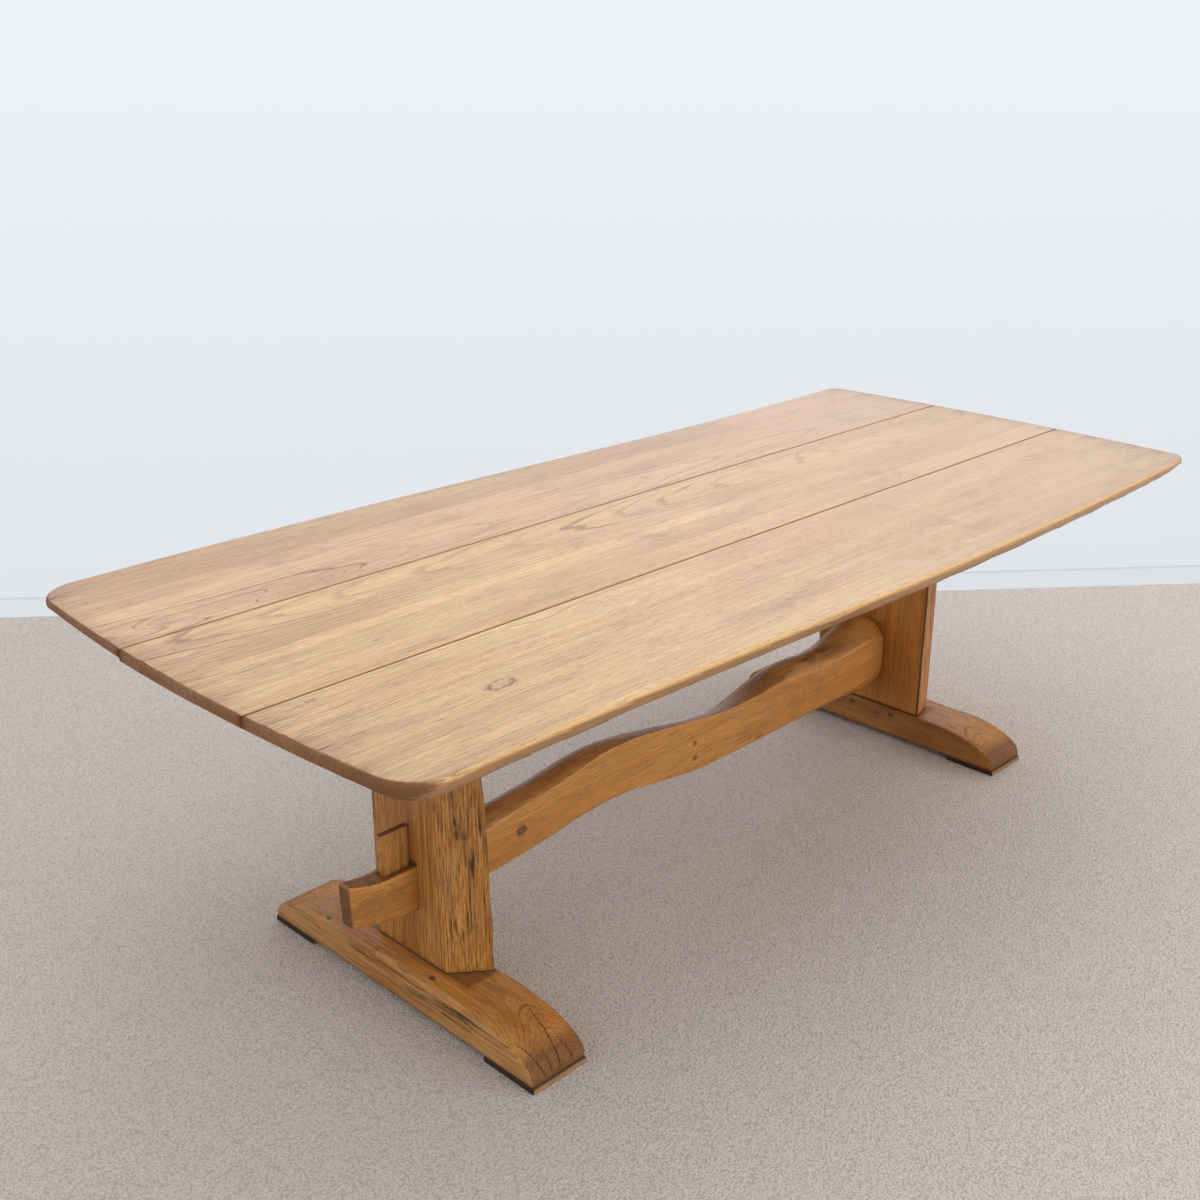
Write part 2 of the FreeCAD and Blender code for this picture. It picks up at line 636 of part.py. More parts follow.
def make_stretcher():
    sections = [stretcher_section(*values) for values in STRETCHER_SECTIONS]
    stretcher = Part.makeLoft(sections, True, False)
    for side in (LEFT, RIGHT):
        stretcher = stretcher.fuse(on_trestle(side, tenon(side)))
    for side in (LEFT, RIGHT):
        stretcher = stretcher.cut(on_trestle(side, key_slot(side)))
    solids["stretcher"] = stretcher


def make_keys():
    """Flat keys, a little narrower at the foot, that bear on the posts."""
    for side, name in ((LEFT, "left_key"), (RIGHT, "right_key")):
        inner_x = side * KEY_INNER_X
        y = -KEY_THICKNESS / 2
        points = [
            Vec(inner_x, y, KEY_BOTTOM),
            Vec(side * key_edge_x(KEY_BOTTOM), y, KEY_BOTTOM),
            Vec(side * key_edge_x(KEY_TOP), y, KEY_TOP),
            Vec(inner_x, y, KEY_TOP),
        ]
        key = prism(points, Y_AXIS * KEY_THICKNESS)
        head_edges = [e for e in key.Edges if e.BoundBox.ZMin > KEY_TOP - CLOSE]
        solids[name] = on_trestle(side, key.makeChamfer(KEY_CHAMFER, head_edges))


make_staves()
make_bearers()
make_posts()
make_feet()
make_stretcher()
make_keys()

os.makedirs("parts", exist_ok=True)
for node, shape in solids.items():
    volume = sum(solid.Volume for solid in shape.Solids)
    print(f"{node}: {len(shape.Solids)} solid(s), valid {shape.isValid()}, {volume / 1000:.1f} cm3")
    shape.exportStep("parts/" + node + ".step")
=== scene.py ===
import math

import bmesh
import bpy
import numpy as np
from bpy.props import FloatProperty, FloatVectorProperty, PointerProperty
from mathutils import Matrix, Vector


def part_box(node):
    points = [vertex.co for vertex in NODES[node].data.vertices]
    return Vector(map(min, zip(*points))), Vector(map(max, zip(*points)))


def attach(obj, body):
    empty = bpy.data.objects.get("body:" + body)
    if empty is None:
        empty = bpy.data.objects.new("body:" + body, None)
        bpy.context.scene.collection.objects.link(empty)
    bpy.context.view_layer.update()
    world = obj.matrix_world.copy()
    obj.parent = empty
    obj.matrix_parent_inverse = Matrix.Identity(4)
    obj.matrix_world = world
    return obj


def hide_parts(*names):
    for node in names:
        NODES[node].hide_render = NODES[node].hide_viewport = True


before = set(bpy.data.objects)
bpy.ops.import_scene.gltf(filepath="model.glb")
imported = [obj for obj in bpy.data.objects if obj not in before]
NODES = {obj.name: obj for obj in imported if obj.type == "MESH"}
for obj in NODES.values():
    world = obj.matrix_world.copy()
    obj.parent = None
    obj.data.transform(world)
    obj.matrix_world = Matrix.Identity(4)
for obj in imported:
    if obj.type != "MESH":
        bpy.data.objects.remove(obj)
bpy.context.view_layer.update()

bl_info = {
    "name": "Oak Trestle Table",
    "version": (1, 0, 0),
    "blender": (4, 5, 0),
    "location": "3D View > Sidebar > Trestle Table",
    "description": "Dresses the frame of an oak trestle dining table in worked, worn timber",
    "category": "Object",
}

MM = 0.001
# Points closer than WELD are one point, faces within FLAT are one face, and a point ON_CUT from a
# cut is on it
WELD, FLAT, ON_CUT = 2e-5, math.radians(0.3), 2e-6
# Large odd numbers that scramble the places of the cells of ripple
SCRAMBLE = np.array((73856093, 19349663, 83492791))
SCRAMBLE_SEED, SCRAMBLE_AGAIN = 26544357, 1274126177

TOP_Z = 0.750
# A knot on the joint of two front staves: along and across in millimetres
FRONT_KNOT = (-856, -355)


def tone(red, green, blue):
    """A display colour, 0 to 255, as the linear colour that a shader takes."""
    parts = [channel / 255 for channel in (red, green, blue)]
    return tuple(c / 12.92 if c <= 0.04045 else ((c + 0.055) / 1.055) ** 2.4 for c in parts)


# --- timber: cutting, wearing and carving a solid ------------------------------------------------


def unit(values):
    """The values, none below 0 or above 1."""
    return np.clip(values, 0, 1)


def ripple(points, cell, seed):
    """Smooth noise from -1 to 1 at the points, its cells as long as cell says along each axis."""
    spots = points / np.array(cell, float)
    low = np.floor(spots).astype(np.int64)
    part = spots - low
    part = part * part * (3 - 2 * part)
    total = np.zeros(len(points))
    for corner in range(8):
        step = np.array([corner & 1, corner >> 1 & 1, corner >> 2 & 1])
        at = low + step
        mixed = np.bitwise_xor.reduce(at * SCRAMBLE, axis=1) ^ seed * SCRAMBLE_SEED
        mixed = (mixed ^ (mixed >> 13)) * SCRAMBLE_AGAIN & 0xFFFFFFFF
        value = ((mixed ^ (mixed >> 16)) & 0xFFFF) / 32767.5 - 1
        total += value * np.prod(np.where(step == 1, part, 1 - part), axis=1)
    return total


def rough(points, cell, seed):
    """Two sizes of ripple added together, from about -1 to 1."""
    return 0.68 * ripple(points, cell, seed) + 0.32 * ripple(points * 2.3, cell, seed + 17)


def hill(off, reach):
    """1 where off is 0, falling smoothly to nothing over a few times the reach."""
    return np.exp(-((off / reach) ** 2))


def rows(low, high, step, inset=0.0):
    """Evenly spaced cuts from low to high, with extra ones near both ends if inset is set."""
    count = max(1, round((high - low) / step))
    inner = [low + (high - low) * k / count for k in range(1, count)]
    if inset:
        inner += [low + inset, low + 2.2 * inset, high - inset, high - 2.2 * inset]
    return sorted(inner)


def lattice(node, *steps):
    """Cuts through a node along x, y and z, each step being a pair for rows."""
    low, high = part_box(node)
    return {axis: rows(low[axis], high[axis], *step) for axis, step in enumerate(steps)}


def scattered(seed, count, *ranges):
    """Random spans for Timber.checks, each number drawn from its own range."""
    dice = np.random.default_rng(seed)
    return [[dice.uniform(*limits) for limits in ranges] for _ in range(count)]


def column(items, field, width=1, kind=float):
    """A field of all the items as an array, with a row for each if the field is that wide."""
    values = np.zeros(len(items) * width, kind)
    items.foreach_get(field, values)
    return values.reshape(-1, width) if width > 1 else values


def wave(run, cell, seed):
    """rough along one line only."""
    return rough(np.stack([run, 0 * run, 0 * run], 1), (cell, 1, 1), seed)


def placed(name, data):
    """A new object in the scene, made of the data."""
    thing = bpy.data.objects.new(name, data)
    bpy.context.scene.collection.objects.link(thing)
    return thing


class Timber:
    """One piece of wood as a dense closed mesh, worked with numpy and then made into an object."""

    def __init__(self, node, cuts=None, voxel=None):
        self.node = node
        work = bmesh.new()
        work.from_mesh(NODES[node].data)
        bmesh.ops.remove_doubles(work, verts=work.verts, dist=WELD)
        bmesh.ops.dissolve_limit(work, angle_limit=FLAT, verts=work.verts, edges=work.edges)
        for axis, places in (cuts or {}).items():
            normal = Vector([float(k == axis) for k in range(3)])
            for place in places:
                bmesh.ops.bisect_plane(
                    work,
                    geom=list(work.verts) + list(work.edges) + list(work.faces),
                    dist=ON_CUT,
                    plane_co=normal * place,
                    plane_no=normal,
                )
        if cuts:
            many = [f for f in work.faces if len(f.verts) > 4]
            bmesh.ops.triangulate(work, faces=many)
        self.mesh = bpy.data.meshes.new(node + "_wood")
        work.to_mesh(self.mesh)
        work.free()
        if voxel:
            self.remesh(voxel)
        self.fields = {}
        self.read()
        self.worn = np.zeros(len(self.points))

    def remesh(self, voxel):
        """Replaces the mesh by even small cells of the voxel's size."""
        carrier = placed(self.node + "_voxels", self.mesh)
        grain = carrier.modifiers.new("cells", "REMESH")
        grain.mode = "VOXEL"
        grain.voxel_size = voxel
        bpy.context.view_layer.update()
        solved = carrier.evaluated_get(bpy.context.evaluated_depsgraph_get())
        self.mesh = bpy.data.meshes.new_from_object(solved)
        bpy.data.objects.remove(carrier)

    def read(self):
        """Takes points, normals and edges out of the mesh."""
        self.points = column(self.mesh.vertices, "co", 3)
        self.edges = column(self.mesh.edges, "vertices", 2, int)
        self.facing()

    def facing(self, skip=None):
        """Normals of the points. Faces that skip picks by centre and normal don't count."""
        self.write()
        polygons = self.mesh.polygons
        normal, centre = column(polygons, "normal", 3), column(polygons, "center", 3)
        sides = column(polygons, "loop_total", kind=int)
        weight = column(polygons, "area") + 1e-12
        if skip is not None:
            weight = np.where(skip(centre, normal), 0.0, weight)
        corners = column(self.mesh.loops, "vertex_index", kind=int)
        spread = np.repeat(normal * weight[:, None], sides, axis=0)
        total = np.zeros((len(self.points), 3))
        for axis in range(3):
            total[:, axis] = np.bincount(corners, spread[:, axis], len(self.points))
        length = np.linalg.norm(total, axis=1)
        self.normals = total / np.maximum(length, 1e-14)[:, None]
        self.nx, self.ny, self.nz = self.normals.T

    def write(self):
        """Puts the points back into the mesh."""
        self.mesh.vertices.foreach_set("co", self.points.ravel())
        self.mesh.update()

    def rough(self, cell, seed):
        """rough at the wood's own points."""
        return rough(self.points, cell, seed)

    def sink(self, depth):
        """Moves each point inwards by its depth in metres."""
        self.points = self.points - self.normals * np.maximum(depth, 0)[:, None]

    def wear(self, rounds, amount=0.6):
        """Rounds the arrises off, as handling does, and leaves flat faces flat."""
        first, second = self.edges[:, 0], self.edges[:, 1]
        count = len(self.points)
        near = np.maximum(np.bincount(self.edges.ravel(), minlength=count), 1)
        for _ in range(rounds):
            total = np.zeros((count, 3))
            for axis in range(3):
                values = self.points[:, axis]
                total[:, axis] = np.bincount(first, values[second], count)
                total[:, axis] += np.bincount(second, values[first], count)
            shift = total / near[:, None] - self.points
            along = np.einsum("ij,ij->i", shift, self.normals)
            pull = np.minimum(along, 0) * amount
            self.points = self.points + self.normals * pull[:, None]
            self.worn -= pull
            self.facing()

    def mark(self, name, values):
        """Keeps a number from 0 to 1 per point for the finish, the larger where two meet."""
        values = unit(values)
        self.fields[name] = np.maximum(self.fields.get(name, 0 * values), values)

    def checks(self, side, along, across, spans, seed, wander=1.4 * MM):
        """Drying cracks along the grain on the faces turned to side.

        Each span is (middle along, place across, half length, half width, depth) in metres, and
        may end with how far it leans across per metre along."""
        facing = unit((self.normals @ np.array(side, float) - 0.55) / 0.25)
        run, place = self.points[:, along], self.points[:, across]
        depth = np.zeros(len(run))
        for number, (middle, where, half, width, deep, *lean) in enumerate(spans):
            reach = unit(1 - ((run - middle) / half) ** 2) ** 0.5
            swing = wander * wave(run, 0.045, seed + number)
            slant = (run - middle) * sum(lean)
            off = np.abs(place - where - slant - swing)
            open_half = width * np.maximum(reach, 0.05)
            here = deep * reach * unit(1.15 - off / open_half)
            depth = np.maximum(depth, here * facing)
        self.sink(depth)
        self.mark("check", depth / (1.2 * MM))

    def finish(self, slot, *grain, body="table", smooth=38, **settings):
        """Makes the object, of the oak that grain and settings say. It stands for its CAD node."""
        self.write()
        for field, values in self.fields.items():
            layer = self.mesh.attributes.new(field, "FLOAT", "POINT")
            layer.data.foreach_set("value", values.astype(np.float32))
        self.mesh.materials.clear()
        self.mesh.materials.append(oak("oak_" + self.node, *grain, **settings))
        count = len(self.mesh.polygons)
        self.mesh.polygons.foreach_set("use_smooth", [True] * count)
        self.mesh.polygons.foreach_set("material_index", [0] * count)
        self.mesh.set_sharp_from_angle(angle=math.radians(smooth))
        piece = bpy.data.objects.new(self.node + "_worked", self.mesh)
        bpy.context.scene.collection.objects.link(piece)
        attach(piece, body)
        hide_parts(self.node)
        return piece


# --- finishes: procedural oak, steel and the stage -----------------------------------------------


class Value:
    """A number in a shader. Arithmetic with it adds maths nodes to its finish."""

    def __init__(self, finish, socket):
        self.finish, self.socket = finish, socket

    def __add__(self, other):
        return self.finish.maths("ADD", self, other)

    def __sub__(self, other):
        return self.finish.maths("SUBTRACT", self, other)

    def __rsub__(self, other):
        return self.finish.maths("SUBTRACT", other, self)

    def __mul__(self, other):
        return self.finish.maths("MULTIPLY", self, other)


class Finish:
    """Builds one procedural material or world, a node at a time."""

    def __init__(self, name, kind="materials"):
        self.holder = getattr(bpy.data, kind).new(name)
        self.holder.use_nodes = True
        self.tree = self.holder.node_tree
        self.tree.nodes.clear()

    def put(self, kind, links=(), **settings):
        """Adds a node with its settings, and links or sets its inputs by name or number."""
        node = self.tree.nodes.new("ShaderNode" + kind)
        for key, value in settings.items():
            setattr(node, key, value)
        for key, value in dict(links).items():
            socket = node.inputs[key]
            if isinstance(value, Value):
                value = value.socket
            if isinstance(value, bpy.types.NodeSocket):
                self.tree.links.new(value, socket)
            elif socket.type == "RGBA":
                socket.default_value = (*value[:3], 1.0)
            else:
                socket.default_value = value
        return node

    def maths(self, operation, *values, clamp=False):
        """The result of a maths node on numbers and sockets."""
        links = dict(enumerate(values))
        node = self.put("Math", links, operation=operation, use_clamp=clamp)
        return Value(self, node.outputs[0])

    def between(self, value, low, high, start=0.0, end=1.0):
        """value's smooth way from low to high as a number from start to end."""
        links = {"Value": value, "From Min": low, "From Max": high, "To Min": start, "To Max": end}
        node = self.put("MapRange", links, interpolation_type="SMOOTHSTEP")
        return Value(self, node.outputs[0])

    def cloud(self, vector, sizes, detail, rough, twist=0.0, output=0):
        """Noise whose cells have these lengths, in metres."""
        links = {0: vector, 1: [1 / size for size in sizes]}
        scaled = self.put("VectorMath", links, operation="MULTIPLY").outputs[0]
        links = {"Vector": scaled, "Scale": 1.0, "Detail": detail, "Roughness": rough}
        links["Distortion"] = twist
        return Value(self, self.put("TexNoise", links).outputs[output])

    def blend(self, share, first, second, kind="MIX"):
        """One colour going over into another."""
        links = {0: share, 6: first, 7: second}
        return self.put("Mix", links, data_type="RGBA", blend_type=kind).outputs[2]

    def read(self, field):
        """A number kept on the mesh by Timber.mark."""
        return Value(self, self.put("Attribute", attribute_name=field).outputs["Fac"])

    def seen(self):
        """1 for a ray from the camera, off something glossy or through glass, and 0 for others."""
        rays = self.put("LightPath").outputs
        either = self.maths("MAXIMUM", rays["Is Camera Ray"], rays["Is Glossy Ray"])
        return self.maths("MAXIMUM", either, rays["Is Transmission Ray"])

    def close(self, links, height, relief):
        """Ends the material with one glossy shader, its surface raised by height times relief."""
        bump = self.put("Bump", {"Height": height, "Distance": relief, "Strength": 1.0})
        shader = self.put("BsdfPrincipled", {**links, "Normal": bump.outputs[0]})
        self.put("OutputMaterial", {"Surface": shader.outputs[0]})
        return self.holder


def shade(colour, gain):
    """The colour made darker or lighter, with no part of it above 1."""
    return tuple(min(1, part * gain) for part in colour)


def palette_of(**colours):
    """Display colours of a wood, by what they are for."""
    return {part: tone(*colour) for part, colour in colours.items()}


def tinted(palette, gains):
    """The palette with its red, green and blue multiplied by the three gains."""
    return {
        part: tuple(c * gain for c, gain in zip(colour, gains))
        for part, colour in palette.items()
    }


# How far a face is turned along the grain where end grain starts to show, and where it is all.
END_TURN = (0.30, 0.58)
TOP_END_TURN = (0.20, 0.42)
OAK_SPECULAR = 0.38

# Colours of each wood. rim is a long arris of the top, a yellower varnish with a highlight painted
# into it, under what is below it, arris the edge above an end, heart the inside of a knot, and the
# far-end tint the paler, greyer sheen painted over the far end.
TOP_PALETTE = palette_of(
    pale=(236, 197, 148), deep=(216, 173, 130), ring=(136, 90, 56), pore=(94, 64, 48),
    stain=(180, 144, 124), faded=(192, 166, 145), end=(120, 72, 32), arris=(184, 130, 88),
    rim=(228, 182, 118), under=(172, 122, 70), heart=(186, 150, 132), split=(104, 60, 26),
)
BASE_PALETTE = palette_of(
    pale=(218, 152, 76), deep=(184, 118, 50), ring=(104, 58, 21), pore=(70, 40, 17),
    stain=(142, 108, 76), end=(112, 68, 36), split=(38, 21, 10),
)
FOOT_PALETTE = {**BASE_PALETTE, "stain": tone(198, 152, 94)}
STRETCHER_PALETTE = palette_of(
    pale=(214, 150, 76), deep=(194, 128, 58), ring=(142, 84, 37), pore=(74, 42, 20),
    stain=(134, 92, 52), end=(108, 66, 34), heart=(98, 56, 27), split=(42, 24, 12),
)
PAD_PALETTE = palette_of(
    pale=(196, 148, 100), deep=(160, 114, 72), ring=(104, 68, 40), pore=(44, 28, 18),
    stain=(80, 62, 46), end=(40, 26, 17), split=(30, 20, 12),
)


def oak(name, along, pith, palette, seed, spacing=3.2, rings=0.55, knots=(), waves=6.0, pores=0.55,
        pore_size=(16, 1.1), stains=0.5, roughness=0.45, cracks=0.0, crack_size=(85, 3.2),
        mottle=0.3, weather=0.0, veins=0.4, pore_cut=0.56, fade=0.0, greyed=0.85,
        end_turn=END_TURN, bands=()):
    """Solid oak: rings round a leaning pith line, pores, rays, stains, knots and end grain.

    along is the axis of the grain. pith is (place, place, lean, lean) of the pith line in the
    other two axes, in millimetres and millimetres per metre. Each knot is (along, across, up,
    length, width, lift, core) in millimetres: None leaves an axis out, lift is how far it bends
    the rings, and core how dark its heart is, from 0 to 1. veins is the strength of the fine lines
    along the grain, and the sheen setting how strongly a sheen painted over the far end pales and
    greys it and softens its rings and lines. Each band is (from, to, reach, gain): places across
    and the place along where it ends, in millimetres."""
    f = Finish(name)
    coords = f.put("TexCoord").outputs
    split = f.put("SeparateXYZ", {0: coords["Object"]}).outputs
    order = {0: (0, 1, 2), 1: (1, 0, 2), 2: (2, 0, 1)}[along]
    run, side, up = (Value(f, split[k]) for k in order)
    shifted = {k: axis + seed * 0.731 * (k + 1) for k, axis in enumerate((run, side, up))}
    grain = f.put("CombineXYZ", shifted).outputs[0]

    def layer(sizes, detail, rough, low, high, twist=0.0):
        """Noise in the wood, as a number that goes from 0 to 1 between low and high."""
        return f.between(f.cloud(grain, sizes, detail, rough, twist), low, high)

    def over(share, part):
        """Lays a colour of the palette over what is there."""
        nonlocal colour
        colour = f.blend(share, colour, palette[part])

    # growth rings
    drift = f.cloud(grain, (0.55, 0.16, 0.16), 3, 0.55, output=1)
    sways = f.put("SeparateXYZ", {0: drift}).outputs
    legs = []
    for axis, sway, place, lean in zip((side, up), sways, pith[:2], pith[2:]):
        line = run * (lean * MM) + place * MM
        legs.append(axis - line + (Value(f, sway) * (2 * waves * MM) - waves * MM))
    radius = f.maths("SQRT", legs[0] * legs[0] + legs[1] * legs[1])
    radius = f.cloud(grain, (0.07, 0.012, 0.012), 2, 0.5) * (0.9 * MM) + radius
    hearts, outlines = [], []
    for middle, across, height, length, width, lift, core in knots:
        square = 0.0
        for axis, at, size in ((run, middle, length), (side, across, width), (up, height, width)):
            if at is not None:
                off = axis * (1 / (size * MM)) - at / size
                square = off * off + square
        radius = f.maths("EXPONENT", square * -0.5) * (lift * MM) + radius
        if core:
            cell = 0.55 * length * MM
            uneven = f.cloud(grain, (cell, cell * 0.6, cell * 0.6), 4, 0.65)
            reach = uneven * 2.2 + f.maths("SQRT", square)
            hearts.append(f.between(reach, 2.15, 1.85) * core)
            edge = f.between(reach, 1.75, 1.98) * f.between(reach, 2.22, 2.02)
            outlines.append(edge * f.between(uneven, 0.42, 0.56))
    pace = f.cloud(grain, (2.0, 0.05, 0.05), 1, 0.4)
    count = pace * 1.4 + radius * (1 / (spacing * MM))
    phase = f.maths("FRACT", count)
    number = {"W": f.maths("FLOOR", count)}
    year = f.put("TexWhiteNoise", number, noise_dimensions="1D").outputs[0]
    early = f.between(phase, 0.30, 0.12) * f.between(phase, 0.0, 0.06)
    early = early * (Value(f, year) * 0.8 + 0.2)

    # pores, rays, and tones from broad to fine
    length, width = (size * MM for size in pore_size)
    tubes = layer((length, width, width), 2, 0.6, pore_cut, pore_cut + 0.05)
    tubes = tubes * (early * 0.65 + 0.35)
    vein = layer((0.17, 0.0021, 0.0021), 3, 0.7, 0.49, 0.60, twist=0.2)
    dashes = f.between(f.cloud(grain, (0.035, 0.0016, 0.0016), 2, 0.6), 0.36, 0.60, 0.60, 1.0)
    drawn = early * dashes
    # Painted sheen: towards the far end the rings, lines and pores soften, as a reflection would
    # veil them
    if fade:
        sheen_share = f.between(run, -1.0, 1.3) * fade
        drawn, vein, tubes = (part * (1.0 - sheen_share) for part in (drawn, vein, tubes))
    rays = layer((0.020, 0.0016, 0.005), 1, 0.5, 0.56, 0.72)
    broad = layer((0.60, 0.085, 0.085), 3, 0.55, 0.34, 0.66)
    streak = layer((0.30, 0.008, 0.008), 3, 0.6, 0.40, 0.64)
    patch = layer((0.055, 0.012, 0.012), 4, 0.65, 0.42, 0.60)
    blot = layer((0.20, 0.10, 0.10), 4, 0.62, 0.52, 0.70, twist=0.3)
    mist = f.cloud(grain, (0.045, 0.028, 0.028), 4, 0.65)
    colour = f.blend(broad, palette["pale"], palette["deep"])
    over(patch * mottle, "deep")
    over(streak * 0.14, "ring")
    over(vein * veins, "ring")
    over(drawn * rings, "ring")
    over(rays * 0.15, "pale")
    # The far end paled and greyed by a painted sheen
    if fade:
        over(f.maths("MULTIPLY", sheen_share, 1.2, clamp=True), "faded")
    for low, high, far, gain in bands:
        inside = f.between(side, low * MM, (low + 1) * MM)
        inside = inside * f.between(side, (high + 1) * MM, high * MM)
        inside = inside * f.between(run, (far + 250) * MM, (far - 150) * MM)
        colour = f.blend(inside, colour, (gain, gain, gain), "MULTIPLY")
    soiled = blot * f.between(mist, 0.36, 0.60)
    if fade:
        marked = f.read("blotch") * f.between(mist, 0.30, 0.56)
        soiled = f.maths("MAXIMUM", soiled, marked)
    over(soiled * stains, "stain")
    over(tubes * pores, "pore")
    relief = tubes * -0.7 + vein * (-0.6 * veins) + drawn * -0.5 + mist * 0.3

    # end grain, rims and undersides
    normal = f.put("SeparateXYZ", {0: coords["Normal"]}).outputs
    toward = f.maths("ABSOLUTE", normal[along])
    ends = f.between(toward, *end_turn)
    long_way = 1.0 - ends
    if "rim" in palette:
        # A more yellow tone on the long rim: partly its own thicker varnish, partly a highlight
        # painted along it
        over(f.between(normal[2], 0.95, 0.75) * long_way * 0.70, "rim")
        over(f.between(normal[2], 0.40, -0.15) * 0.85, "under")
    if "arris" in palette:
        over(f.between(toward, 0.08, 0.25, 0.0, 0.6), "arris")
    face = f.blend(patch * 0.6, palette["end"], shade(palette["end"], 0.62))
    colour = f.blend(ends * (early * 0.20 + 0.78), colour, face)
    for heart, outline in zip(hearts, outlines):
        over(heart * 0.85, "heart" if "heart" in palette else "pore")
        over(outline * 0.7, "pore")
        relief = outline * -0.9 + relief

    # cracks, weathering and marks kept on the mesh
    weathered = f.read("weather") * weather
    if cracks or weather:
        run_size, side_size = (size * MM for size in crack_size)
        lines = layer((run_size, side_size, side_size), 3, 0.62, 0.575, 0.635, twist=0.5)
        amount = layer((0.25, 0.035, 0.035), 2, 0.5, 0.40, 0.60) * cracks
        lines = lines * (f.maths("MAXIMUM", amount, weathered) * long_way)
        over(lines, "pore")
        relief = lines * -1.6 + relief
    if weather:
        over(layer((0.16, 0.008, 0.008), 3, 0.6, 0.38, 0.54) * (weathered * greyed), "stain")
    # Darker where soiled, and where a contact shade is painted
    over(f.read("soil_and_shade") * 0.75, "end")
    # Paler where worn, and where a highlight is painted along an arris
    colour = f.blend(f.read("wear_and_highlight") * 0.6, colour, shade(palette["pale"], 1.3))
    opened = f.read("check")
    over(opened * 0.95, "split")
    sheen = mist * 0.24 + (roughness - 0.12) + tubes * 0.15 + f.between(toward, 0.06, 0.40) * 0.30
    sheen = f.maths("MULTIPLY_ADD", opened, 0.35, sheen, clamp=True)
    links = {"Base Color": colour, "Roughness": sheen, "Specular IOR Level": OAK_SPECULAR}
    return f.close(links, relief, 0.5 * MM)


def steel(name, colour, roughness):
    """Zinc-plated steel, dulled and a little blotched."""
    f = Finish(name)
    coords = f.put("TexCoord").outputs["Object"]
    blotch = f.cloud(coords, (0.004, 0.004, 0.004), 4, 0.6)
    scratch = f.cloud(coords, (0.006, 0.0006, 0.0006), 2, 0.5)
    tint = f.blend(f.between(blotch, 0.4, 0.65), colour, shade(colour, 0.55))
    dulled = f.maths("MULTIPLY_ADD", blotch, 0.35, roughness - 0.15, clamp=True)
    links = {"Base Color": tint, "Roughness": dulled, "Metallic": 1.0}
    return f.close(links, scratch, 0.1 * MM)


# --- what a user may change ----------------------------------------------------------------------


class TrestleTableLook(bpy.types.PropertyGroup):
    """Sizes of the wear and of the carving."""

    rim_wobble: FloatProperty(
        name="Rim wobble", description="How far the waney rim of the top dips in and out",
        default=1.6 * MM, min=0, max=5 * MM, unit="LENGTH",
    )
    check_depth: FloatProperty(
        name="Check depth", description="Depth of the drying cracks in posts and feet",
        default=2.6 * MM, min=0, max=6 * MM, unit="LENGTH",
    )
    stretcher_cell: FloatProperty(
        name="Stretcher cell", description="Cell size of the carved stretcher",
        default=3.0 * MM, min=2 * MM, max=10 * MM, unit="LENGTH",
    )
    foot_cell: FloatProperty(
        name="Foot cell", description="Cell size of the carved feet",
        default=2.1 * MM, min=2 * MM, max=10 * MM, unit="LENGTH",
    )


class TrestleTableStage(bpy.types.PropertyGroup):
    """Floor, wall and light round the table."""

    carpet: FloatVectorProperty(
        name="Carpet", description="Colour of the looped carpet", subtype="COLOR",
        default=tone(215, 205, 197), min=0, max=1,
    )
    wall: FloatVectorProperty(
        name="Wall", description="Colour of the plain wall", subtype="COLOR",
        default=tone(224, 229, 235), min=0, max=1,
    )
    daylight: FloatProperty(
        name="Daylight", description="Strength of the soft light from all round",
        default=0.955, min=0, max=2,
    )
    window: FloatProperty(
        name="Window", description="Power of the large soft window light, in watts",
        default=100.0, min=0, max=2000,
    )
    fill: FloatProperty(
        name="Fill", description="Power of the soft light on the front, in watts",
        default=78.0, min=0, max=2000,
    )


# --- the pieces ----------------------------------------------------------------------------------


STAVES = {
    # node: (pith, ring spacing, seed, rings, tint, knots)
    "back_board_outer_stave": ((770, 520, -8, 6), 5.6, 3, 0.75, 1.04, ()),
    "back_board_inner_stave": (
        (262, 560, 14, -22), 4.8, 11, 0.80, 1.01,
        ((-955, 236, None, 60, 15, 26, 0), (-840, 228, None, 75, 13, -22, 0),
         (-1075, 250, None, 40, 12, 12, 0)),
    ),
    "middle_board_back_stave": (
        (120, 585, -25, 30), 4.8, 23, 0.90, 1.02,
        ((1010, 138, None, 120, 26, 34, 0), (760, 150, None, 90, 20, -20, 0),
         (-1150, 66, None, 5, 3, 3, 1.0)),
    ),
    "middle_board_centre_stave": (
        (-760, 430, 10, 8), 5.8, 31, 0.62, 1.01, ((-884, -75, None, 6, 4, 5, 1.0),),
    ),
    "middle_board_front_stave": (
        (-520, 430, 18, -6), 5.4, 42, 0.75, 1.07,
        ((-860, -141, None, 9, 3, 4, 0.7), (850, -118, None, 60, 14, 16, 0)),
    ),
    "front_board_inner_stave": (
        (-620, 500, -18, 20), 5.6, 57, 0.90, 1.06,
        ((-620, -210, None, 90, 14, 16, 0), (-1100, -197, None, 11, 5, 7, 0.7)),
    ),
    "front_board_centre_stave": (
        (-60, 520, 8, 4), 4.8, 63, 0.70, 0.99, ((*FRONT_KNOT, None, 34, 17, 16, 0.5),),
    ),
    "front_board_outer_stave": (
        (-110, 540, 20, -16), 4.6, 71, 0.62, 0.97,
        ((*FRONT_KNOT, None, 60, 22, 12, 0), (-500, -430, None, 160, 30, 14, 0)),
    ),
}
